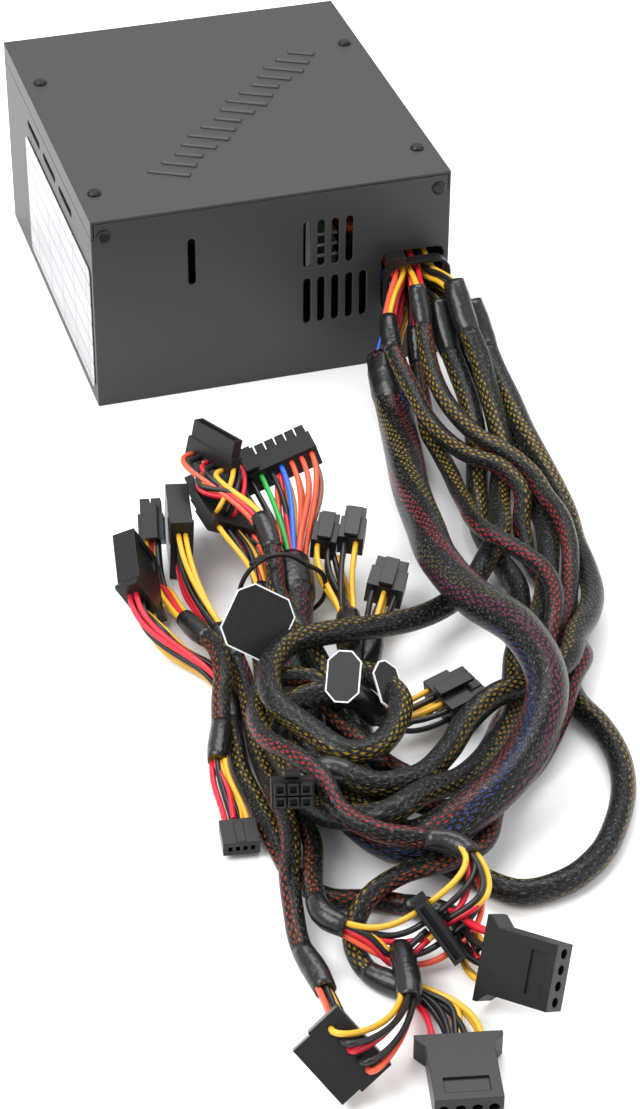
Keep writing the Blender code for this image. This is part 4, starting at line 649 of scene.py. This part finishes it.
for name, path in laid.items():
    diameter = CABLES[name][0]
    bare = BARE[name]
    whole = length_of(path)
    first, last = cut_at(path, bare[0]), cut_at(path, whole - bare[1])
    body = path[first:last + 1] * MM
    turn = 2 * np.pi * np.arange(SLEEVE_SIDES) / SLEEVE_SIDES
    run = np.arange(len(body))[:, None] * SMOOTH * 0.045
    radius = diameter / 2 * MM * (0.985 + 0.03 * np.cos(3 * turn[None] + run) + 0.012 * np.cos(run * 2.3))
    tube = Strands()
    tube.add(body, radius, 0, SLEEVE_SIDES)
    cores = CORES.get(name, CHAIN_CORES)
    for part in (path[:first + 4], path[last - 3:]):
        if len(part) < 8:
            continue
        for k, colour in enumerate(cores):
            angle = 2 * math.pi * k / len(cores)
            fade = np.linspace(0, 1.4, len(part))[:, None]
            offset = np.array((math.cos(angle), 0.5 * math.sin(angle), math.sin(angle)))
            core = part + offset * diameter * 0.24 * np.cos(fade * 0.9)
            tube.add(core * MM, CORE_RADIUS * MM, 1 + WIRE_SLOT[colour], 8)
    sleeves[name] = tube.make(f"{name}_braid", [BRAIDS[diameter], *wire_mats])
    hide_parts(name)
    caps = Strands()
    long = 22 if diameter > 8 else 17
    for low, high in ((first, first + long // 2), (last - long // 2, last)):
        bit = path[low:high + 1] * MM
        caps.add(bit, rounded_ends(len(bit), diameter / 2 * MM + 0.0006), 0, 20)
    ends[name] = caps.make(f"{name}_shrunk_ends", [shrink])
    sleeve_end[name, 0] = (path[first], path[first] - path[min(first + 4, len(path) - 1)])
    sleeve_end[name, -1] = (path[last], path[last] - path[last - 4])
print("sleeves", len(sleeves))

# %% [markdown]
# ## Wires from the sleeves to the plugs
#
# A loose wire leaves the shrunk end straight, then bends towards its own hole in the plug. A
# cubic curve with a handle at each end gives that shape.

# %% Wires
BLOCK_PITCH, DRIVE_PITCH, FLOPPY_PITCH, SATA_PITCH = 4.2, 5.08, 2.5, 4.1


def block_pins(columns, rows):
    return [((c - (columns - 1) / 2) * BLOCK_PITCH, 0.6, (r - (rows - 1) / 2) * BLOCK_PITCH)
            for r in range(rows) for c in range(columns)]


def curve_between(start, way_out, end, way_in, pull=0.42):
    """A cubic curve from start, leaving along way_out, to end, arriving from way_in."""
    start, end = np.array(start, float), np.array(end, float)
    reach = np.linalg.norm(end - start) * pull
    one = start + np.array(way_out, float) / max(np.linalg.norm(way_out), 1e-6) * reach
    two = end + np.array(way_in, float) / max(np.linalg.norm(way_in), 1e-6) * reach
    t = np.linspace(0, 1, 22)[:, None]
    spots = (1 - t) ** 3 * start + 3 * (1 - t) ** 2 * t * one + 3 * (1 - t) * t ** 2 * two + t ** 3 * end
    spots[:, 2] = np.maximum(spots[:, 2], 1.2)
    return spots


def fan(name, cable, which, plug, pins, way_in, colours, radius=CORE_RADIUS, pull=0.42):
    """The wires from one end of a cable's sleeve to the pins of a plug, as one piece."""
    place, way_out = sleeve_end[cable, which]
    way_out = way_out / np.linalg.norm(way_out)
    across = np.array(PLUGS[plug].along(1, 0, 0))
    across = across - way_out * across.dot(way_out)
    across = across / max(np.linalg.norm(across), 1e-6)
    up = np.cross(way_out, across)
    spread = CABLES[cable][0] * 0.3
    made = Strands()
    widest = max(abs(p[0]) for p in pins) or 1.0
    for k, (pin, colour) in enumerate(zip(pins, colours)):
        layer = (k % 2 - 0.5) * 2
        start = place - way_out * 6 + across * spread * pin[0] / widest + up * spread * 0.5 * layer
        end = PLUGS[plug].at(*pin)
        stray = pull * (1 + 0.16 * math.sin(k * 2.4))
        made.add(curve_between(start, way_out, end, PLUGS[plug].along(*way_in), stray) * MM, radius * MM,
                 WIRE_SLOT[colour], 8)
    piece = made.make(name, wire_mats)
    return piece


BACK = (0, -1, 0)
main_row = ["orange", "black", "red", "black", "red", "black",
            "grey", "purple", "yellow", "yellow", "orange", "brown"]
main_top = ["black", "red", "black", "yellow", "black", "black",
            "green", "black", "blue", "orange", "orange", "orange"]
four = [((i - 1.5) * DRIVE_PITCH, 0.6, z) for z in (-1.3, 1.3) for i in range(4)]
drive_colours = ["yellow", "black", "black", "red"] * 2
sata_side = [[((i - 2) * SATA_PITCH, 6.0, side * 2.2) for i in range(5)] for side in (-1, 1)]
sata_back = [((i - 2) * SATA_PITCH, 0.5, 0.0) for i in range(5)]
sata_colours = ["orange", "black", "red", "black", "yellow"]
small = [((i - 1.5) * FLOPPY_PITCH, 0.5, 0) for i in range(4)]
quad = block_pins(2, 2)
live_first, ground_first = ["yellow", "black"], ["black", "yellow"]
wires = {
    "main": fan("wires_main", "cable_main", -1, "plug_main_24pin", block_pins(12, 2), BACK,
                main_row + main_top),
    "sata_a": fan("wires_sata_a", "cable_sata_a", -1, "plug_sata_a", sata_side[1], (0, 0, 1), sata_colours),
    "sata_b": fan("wires_sata_b", "link_sata_c", -1, "plug_sata_b", sata_back, BACK, sata_colours[::-1]),
    "cpu_a": fan("wires_cpu_a", "cable_cpu", -1, "plug_cpu_a", quad, BACK, live_first * 2),
    "cpu_b": fan("wires_cpu_b", "cable_cpu", -1, "plug_cpu_b", quad, BACK, ground_first * 2),
    "cpu_c": fan("wires_cpu_c", "link_floppy", -1, "plug_cpu_c", quad, BACK, live_first * 2),
    "drive_c": fan("wires_drive_c", "link_drive_b", -1, "plug_drive_c", four, BACK, drive_colours[::-1]),
    "drive_d": fan("wires_drive_d", "link_sata_d", -1, "plug_drive_d", four, BACK, drive_colours),
    "graphics_c": fan("wires_graphics_c", "cable_graphics_c", -1, "plug_graphics_c", block_pins(3, 2), BACK,
                      ["yellow", "yellow", "black", "black", "yellow", "black"]),
    "graphics_b": fan("wires_graphics_b", "cable_graphics_b", -1, "plug_graphics_b", block_pins(4, 2), BACK,
                      live_first * 4),
    "graphics_a": fan("wires_graphics_a", "cable_graphics_a", -1, "plug_graphics_a", block_pins(3, 2), BACK,
                      ground_first * 3),
    "floppy": fan("wires_floppy", "link_floppy", 0, "plug_floppy", small, BACK, drive_colours[:4]),
    "sata_c_in": fan("wires_sata_c_in", "cable_sata_b", -1, "plug_sata_c", sata_side[0], (0, 0, -1),
                     sata_colours[::-1]),
    "sata_c_out": fan("wires_sata_c_out", "link_sata_c", 0, "plug_sata_c", sata_side[1], (0, 0, 1),
                      sata_colours[::-1]),
    "sata_d_in": fan("wires_sata_d_in", "link_sata_d", 0, "plug_sata_d", sata_side[1], (0, 0, 1), sata_colours),
    "drive_a": fan("wires_drive_a", "cable_drive_a", -1, "plug_drive_a", four, BACK, drive_colours),
    "drive_b": fan("wires_drive_b", "link_drive_b", 0, "plug_drive_b", four, BACK, drive_colours[::-1]),
}

print("fans of wires", len(wires))

# %% [markdown]
# ### Wires between neighbouring plugs and the twist tie
#
# On a drive chain some wires run straight from one plug to the next. A thin coated wire, twisted
# by hand, holds the neck of the bundle: it is one loop and two twisted ends.

# %% Bridges and twist tie
BACK_SLEEVE = ((-58.5, -425.0, 9.0), (-59.4, -431.5, 10.0), (-60.7, -439.6, 10.2), (-63.0, -448.4, 10.0))


def bridge(name, first, pins, way_out, second, aims, way_in, colours):
    """Wires from one plug to another, as one piece."""
    made = Strands()
    for pin, aim, colour in zip(pins, aims, colours):
        start, end = PLUGS[first].at(*pin), PLUGS[second].at(*aim)
        out, back = PLUGS[first].along(*way_out), PLUGS[second].along(*way_in)
        made.add(curve_between(start, out, end, back, 0.6) * MM, 1.0 * MM, WIRE_SLOT[colour], 8)
    piece = made.make(name, wire_mats)
    return piece


# The way back from the last plug ends in a short shrunk sleeve beside the other chain
back_end = smooth_curve(BACK_SLEEVE, 1.5)[:, :3]
sleeve_end["link_drive_b", 1] = (back_end[-1], back_end[-1] - back_end[-4])
wires["sata_d_out"] = fan("wires_sata_d_out", "link_drive_b", 1, "plug_sata_d", sata_side[0], (0, 0, -1),
                          sata_colours[::-1], pull=0.5)
cover = Strands()
cover.add(back_end * MM, rounded_ends(len(back_end), 0.0042), 0, 20)
ends["back"] = cover.make("chain_back_shrunk_end", [shrink])
wires["sata_ab"] = bridge("wires_sata_a_to_b", "plug_sata_a", sata_side[0][:3], (0, 0, -1), "plug_sata_b",
                          [(x, 6.0, 2.2) for x in (-8, -4, 0)], (0, 0, 1), ["yellow", "black", "red"])

TIE_LOOP = ((-60.5, 11), (-58, 24), (-51, 31), (-42, 31), (-35, 25.5), (-28.2, 19), (-27.6, 9), (-33, 3.4),
            (-45, 3), (-57, 4))
loop = [(x, -243, z) for x, z in (*TIE_LOOP[-2:], *TIE_LOOP, *TIE_LOOP[:2])]
ring = smooth_curve(loop, 1.5)
ring = ring[(ring[:, 3] >= 2) & (ring[:, 3] <= 12)][:, :3]
twist = Strands()
twist.add(ring * MM, 0.0009, 0, 10)
for phase in (0, math.pi):
    t = np.linspace(0, 1, 40)
    turn = phase + t * 5 * math.pi
    spots = np.stack([-51 - 6 * t + 1.0 * np.cos(turn), -243 - 9 * t + 1.0 * np.sin(turn),
                      31.5 + 5 * t], axis=1)
    twist.add(spots * MM, 0.0008, 0, 8)
neck_loop = twist.make("neck_twist_tie", [nylon])
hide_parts("neck_tie")
print("bridges and tie made")

# %% [markdown]
# ## Wires at the outlet
#
# Inside the case all wires come together at a square hole, where a tie holds them; past it each
# group goes to its own sleeve. Every wire takes the nearest free place in the hole.

# %% Outlet wires
OUTLET = (59.5, -82.5, 38.5)
groups = {"cable_main": ["yellow", "red", "orange", "black", "blue", "purple", "black", "grey", "red"],
          "cable_cpu": ["yellow", "black", "yellow", "black"],
          "cable_graphics_a": ["yellow", "black", "yellow", "black"],
          "cable_graphics_b": ["yellow", "black", "yellow", "black"],
          "cable_graphics_c": ["yellow", "black", "black", "yellow"],
          "cable_sata_a": ["red", "yellow", "orange", "black"],
          "cable_sata_b": ["red", "yellow", "orange", "black"],
          "cable_drive_a": ["yellow", "red", "black", "red"]}
aims = []
for name, colours in groups.items():
    start = laid[name][2]
    spread = CABLES[name][0] * 0.27
    for k, colour in enumerate(colours):
        angle = 2 * math.pi * k / len(colours)
        offset = np.array((math.cos(angle) * spread, 0.0, math.sin(angle) * spread))
        aims.append((start + offset, colour, laid[name][6] + offset * 0.5))
aims.sort(key=lambda aim: aim[0][0])
outlet = Strands()
columns = 7
per = -(-len(aims) // columns)
for c in range(columns):
    group = sorted(aims[c * per:(c + 1) * per], key=lambda aim: aim[0][2])
    for r, (aim, colour, beyond) in enumerate(group):
        x = OUTLET[0] + (c - (columns - 1) / 2) * 3.2
        z = OUTLET[2] + (r - (len(group) - 1) / 2) * 3.4
        spots = [(x * 0.9 + 4, -58, z + 9), (x, -70, z + 2), (x, -83, z), (x - 0.4, -91, z),
                 tuple((np.array((x, -91, z)) + aim) / 2 + (0, 1.5, 1.0)), tuple(aim), tuple(beyond)]
        outlet.add(smooth_curve(spots, 3.0)[:, :3] * MM, 1.15 * MM, WIRE_SLOT[colour], 8)
outlet_wires = outlet.make("outlet_wires", wire_mats)
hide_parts("wire_bundle")
print("outlet wires", len(aims))

ON = {"cable_main": ["plug_main_24pin"], "cable_sata_a": ["plug_sata_a"],
      "cable_cpu": ["plug_cpu_a", "plug_cpu_b"],
      "cable_graphics_a": ["plug_graphics_a"], "cable_graphics_b": ["plug_graphics_b"],
      "cable_graphics_c": ["plug_graphics_c"], "cable_sata_b": ["plug_sata_c", "plug_sata_d"],
      "cable_drive_a": ["plug_drive_a", "plug_drive_b"], "link_drive_b": ["plug_drive_c"],
      "link_sata_d": ["plug_drive_d"], "link_sata_c": ["plug_sata_b"],
      "link_floppy": ["plug_cpu_c", "plug_floppy"]}
WITH = {"cable_main": ["main"], "cable_sata_a": ["sata_a", "sata_ab"], "cable_cpu": ["cpu_a", "cpu_b"],
        "cable_graphics_a": ["graphics_a"], "cable_graphics_b": ["graphics_b"],
        "cable_graphics_c": ["graphics_c"],
        "cable_sata_b": ["sata_c_in", "sata_d_out"], "cable_drive_a": ["drive_a"],
        "link_drive_b": ["drive_b", "drive_c"],
        "link_sata_d": ["sata_d_in", "drive_d"], "link_sata_c": ["sata_c_out", "sata_b"],
        "link_floppy": ["floppy", "cpu_c"]}
for name, path in laid.items():
    also = [nodes[n] for n in ON[name]] + [wires[w] for w in WITH[name]] + [ends[name]]
    if name == "cable_main":
        also.append(outlet_wires)
print("cords", len(laid))

# %% [markdown]
# ## Metals and the parts inside
#
# Small parts are seen only through the slots, but each still gets its own finish.

# %% Metals
screw_steel, shader = mottled("black_zinc_plated_steel", "#1c1c1e", "#3a3a3d", 700.0, bump=(0.2, 0.0002),
                              Metallic=0.85, Roughness=0.34)
bright_wire, shader = mottled("bright_nickel_plated_wire", "#a9a8a4", "#d5d4d0", 500.0,
                              Metallic=1.0, Roughness=0.22)
edge = add(bright_wire, "Bevel", {"Radius": 0.0007}, samples=4)
join(bright_wire, edge, "Normal", shader, "Normal")

extruded, shader = finish("extruded_aluminium", Metallic=1.0, Roughness=0.38)
spots = add(extruded, "TexCoord")
stretch = add(extruded, "Mapping", {"Vector": (spots, "Object"), "Scale": (900.0, 20.0, 900.0)})
streaks = add(extruded, "TexNoise", {"Vector": (stretch, "Vector"), "Scale": 1.0, "Detail": 3.0})
shade = add(extruded, "Mix", {"Factor": (streaks, "Fac"), "A": linear("#9fa0a2"), "B": linear("#cfd0d1")},
            data_type="RGBA")
bump = add(extruded, "Bump", {"Height": (streaks, "Fac"), "Strength": 0.2, "Distance": 0.0002})
join(extruded, shade, "Result", shader, "Base Color")
join(extruded, bump, "Normal", shader, "Normal")

copper, shader = mottled("enamelled_copper_wire", "#9c4f22", "#d6813f", 200.0, detail=2.0,
                         Metallic=1.0, Roughness=0.28)
print("metals", screw_steel.name, bright_wire.name, extruded.name, copper.name)

# %% Board, film, ferrite, capacitor and label
board, shader = finish("paper_phenolic_board", Roughness=0.55)
spots = add(board, "TexCoord")
cells = add(board, "TexVoronoi", {"Vector": (spots, "Object"), "Scale": 260.0})
solder = add(board, "MapRange", {"Value": (cells, "Distance"), "From Min": 0.2, "From Max": 0.26})
fibre = add(board, "TexNoise", {"Vector": (spots, "Object"), "Scale": 300.0, "Detail": 4.0})
resin = add(board, "Mix", {"Factor": (fibre, "Fac"), "A": linear("#7c5a2c"), "B": linear("#95713c")},
            data_type="RGBA")
shade = add(board, "Mix", {"Factor": (solder, "Result"), "A": linear("#b9bbbd"), "B": (resin, "Result")},
            data_type="RGBA")
bump = add(board, "Bump", {"Height": (fibre, "Fac"), "Strength": 0.2, "Distance": 0.0003})
join(board, shade, "Result", shader, "Base Color")
join(board, bump, "Normal", shader, "Normal")

film, shader = mottled("milky_polycarbonate_film", "#c9c9c4", "#e2e2dd", 60.0,
                       Roughness=0.25, IOR=1.58, Transmission_Weight=0.25)
tape, shader = mottled("yellow_polyester_tape_on_ferrite", "#b08a12", "#d9b22c", 120.0,
                       bump=(0.3, 0.0005), Roughness=0.32)
can_sleeve, shader = mottled("navy_pvc_capacitor_sleeve", "#11162c", "#1f2745", 90.0, detail=2.0,
                             Roughness=0.3)

# A blank printed label: a pale metallised film with a plain ruled table and no words
label, shader = finish("silver_polyester_label", Roughness=0.3, Metallic=0.35)
spots = add(label, "TexCoord")
part = add(label, "SeparateXYZ", {"Vector": (spots, "Object")})
flat = add(label, "CombineXYZ", {"X": (part, "Y"), "Y": (part, "Z")})
rules = add(label, "TexBrick", {"Vector": (flat, "Vector"), "Color1": linear("#b4b5b8"),
                                "Color2": linear("#a6a7aa"), "Mortar": linear("#55565a"), "Scale": 1.0,
                                "Mortar Size": 0.00035, "Brick Width": 0.024, "Row Height": 0.0092},
            offset=0.0)
fine = add(label, "TexNoise", {"Vector": (spots, "Object"), "Scale": 1500.0})
bump = add(label, "Bump", {"Height": (fine, "Fac"), "Strength": 0.1, "Distance": 0.0002})
join(label, rules, "Color", shader, "Base Color")
join(label, bump, "Normal", shader, "Normal")

# %% Give every rigid node its finish
PLUG_SLOT = {n: nylon for n in nodes if n.startswith("plug_")}
FINISHES = {"case_tray": coat, "lid": coat, "rating_label": label, "ac_inlet": pbt, "switch_housing": pbt,
            "switch_rocker": pbt, "fan_frame": abs_black, "fan_rotor": abs_black, "fan_grille": bright_wire,
            "circuit_board": board, "insulator_sheet": film, "primary_heatsink": extruded,
            "secondary_heatsink": extruded, "main_transformer": tape, "bulk_capacitor": can_sleeve,
            "pfc_choke": copper, "output_choke": copper, "output_capacitor": can_sleeve, "bundle_tie": nylon,
            **PLUG_SLOT, **{n: screw_steel for n in nodes if "screw" in n}}
for name, mat in FINISHES.items():
    for held in nodes[name].material_slots:
        held.link = "OBJECT"
        held.material = mat
print("finished nodes", len(FINISHES))

# %% [markdown]
# ## Wound chokes
#
# A choke is a ferrite ring with enamelled wire wound through it. One long spiral round a ring
# gives the real coil, seen through the slots as a copper glint.

# %% Chokes
core_mat, shader = mottled("painted_iron_powder_core", "#c8a21a", "#dcc04a", 800.0, Roughness=0.5)


def wound_ring(name, node, turns):
    low, high = (np.array(corner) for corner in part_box(node))
    centre, size = (low + high) / 2, high - low
    thick = float(min(size)) / 2
    major = float(size[2]) / 2 - thick
    away = np.array((size[0], size[1], 0.0)) - 2 * thick * np.array((1, 1, 0))
    away = away / max(np.linalg.norm(away), 1e-9)
    around = np.linspace(0, 2 * np.pi, 60)
    ring = centre + major * (np.cos(around)[:, None] * away + np.sin(around)[:, None] * np.array((0, 0, 1)))
    wound = Strands()
    wound.add(ring, thick * 0.72, 1, 12)
    wire = thick * 0.13
    t = np.linspace(0, 1, turns * 14)
    a, b = 2 * np.pi * t * 0.9, 2 * np.pi * t * turns
    out = np.cos(a)[:, None] * away + np.sin(a)[:, None] * np.array((0, 0, 1))
    across = np.cross(away, (0, 0, 1))
    reach = thick * 0.72 + wire
    coil = centre + major * out + reach * (np.cos(b)[:, None] * out + np.sin(b)[:, None] * across)
    wound.add(coil, wire, 0, 6)
    piece = wound.make(name, [copper, core_mat])
    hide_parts(node)


wound_ring("pfc_choke_coil", "pfc_choke", 44)
wound_ring("output_choke_coil", "output_choke", 40)
print("chokes wound")

# %% [markdown]
# ## Raised ribs on the lid
#
# The lid is stamped from below, so its ornament is a soft swelling of the same coated sheet. A
# plain set of slanted ribs is modelled: a cube is stretched, its edges are bevelled, and it is
# turned into place.

# %% Lid ribs
SLANT = math.radians(47)
RIB_COUNT, RIB_STEP, RIB_WIDTH, RIB_HEIGHT = 15, 8.6, 3.4, 1.5
for k in range(RIB_COUNT):
    run = (k - (RIB_COUNT - 1) / 2) * RIB_STEP
    x, y = 6 + run * math.cos(SLANT), -8 + run * math.sin(SLANT)
    bpy.ops.object.select_all(action="DESELECT")
    bpy.ops.mesh.primitive_cube_add(size=1.0, location=(x * MM, y * MM, 86.05 * MM))
    rib = bpy.context.object
    rib.name = f"lid_rib_{k + 1}"
    rib.scale = (RIB_WIDTH * MM, (15.0 + 3.0 * math.cos(k * math.pi / 2)) * MM, RIB_HEIGHT * MM)
    rib.rotation_euler = (0, 0, SLANT + math.radians(14))
    bpy.ops.object.transform_apply(location=True, rotation=True, scale=True)
    bevel = rib.modifiers.new("soft_stamping", "BEVEL")
    bevel.width = 0.0007
    bevel.segments = 3
    bpy.ops.object.modifier_apply(modifier=bevel.name)
    bpy.ops.object.shade_smooth()
    rib.data.materials.append(coat)
    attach(rib, "case")
print("ribs", RIB_COUNT)

# %% [markdown]
# ## Card tags on the cables
#
# Small cards with cut corners hang at the ends of some cables. They are left blank, with only a
# thin pale border.

# %% Tags
card, shader = mottled("black_coated_card", "#121213", "#212123", 700.0, bump=(0.15, 0.0002),
                       Roughness=0.4, Specular_IOR_Level=0.25)
border, shader = mottled("white_printed_border", "#c4c4c6", "#e4e4e6", 900.0, detail=2.0, Roughness=0.4)

# The middle, the size and the three turns of each card, in millimetres and degrees
TAGS = {"tag_main": ((-64, -282, 34), (23, 24), (50, 28, -22)),
        "tag_graphics": ((-44, -318, 33), (12, 18), (46, -6, -30)),
        "tag_processor": ((-28, -320, 27), (10, 18), (40, 12, 14))}
for name, ((x, y, z), (wide, tall), turns) in TAGS.items():
    bpy.ops.object.select_all(action="DESELECT")
    bpy.ops.mesh.primitive_plane_add(size=1.0, location=(0, 0, 0))
    tag = bpy.context.object
    tag.name = name
    bpy.ops.object.mode_set(mode="EDIT")
    bpy.ops.mesh.select_all(action="SELECT")
    bpy.ops.transform.resize(value=(wide * MM, tall * MM, 1.0))
    bpy.ops.mesh.bevel(offset=0.2 * tall * MM, affect="VERTICES")
    bpy.ops.mesh.select_all(action="SELECT")
    bpy.ops.mesh.inset(thickness=0.0005, depth=0.0)
    bpy.ops.object.mode_set(mode="OBJECT")
    tag.data.materials.append(card)
    tag.data.materials.append(border)
    for face in tag.data.polygons:
        face.material_index = 0 if len(face.vertices) == 8 else 1
    card_thickness = tag.modifiers.new("card_thickness", "SOLIDIFY")
    card_thickness.thickness = 0.0006
    bpy.ops.object.modifier_apply(modifier=card_thickness.name)
    tag.location = (x * MM, y * MM, z * MM)
    tag.rotation_euler = tuple(math.radians(a) for a in turns)
    bpy.ops.object.transform_apply(location=True, rotation=True, scale=True)
    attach(tag, "case")

# %% [markdown]
# ## Studio
#
# A white table and soft light from above and the left, as for a catalogue.

# %% Floor and lights
bpy.ops.object.select_all(action="DESELECT")
bpy.ops.mesh.primitive_plane_add(size=60.0, location=(0, 0, -0.0002))
floor = bpy.context.object
floor.name = "studio_floor"
floor_mat, shader = finish("matt_white_table", Roughness=0.7)
shader.inputs["Base Color"].default_value = linear("#f6f6f6")
floor.data.materials.append(floor_mat)

world = bpy.data.worlds.new("studio")
world.use_nodes = True
world.node_tree.nodes["Background"].inputs["Color"].default_value = (1.0, 1.0, 1.0, 1.0)
world.node_tree.nodes["Background"].inputs["Strength"].default_value = 0.9
bpy.context.scene.world = world
bpy.context.scene.view_settings.view_transform = "Standard"


def softbox(name, place, size, power):
    lamp = bpy.data.lights.new(name, "AREA")
    lamp.shape = "RECTANGLE"
    lamp.size, lamp.size_y = size
    lamp.energy = power
    held = bpy.data.objects.new(name, lamp)
    held.location = place
    held.rotation_euler = (Vector((0, -0.2, 0)) - Vector(place)).to_track_quat("-Z", "Y").to_euler()
    bpy.context.scene.collection.objects.link(held)


softbox("key_light", (-1.1, -0.5, 1.5), (1.2, 1.2), 34)
softbox("top_light", (0.3, 0.6, 1.8), (1.6, 1.0), 28)
softbox("fill_light", (1.4, -1.0, 1.0), (1.2, 1.2), 7)
print("studio lit")
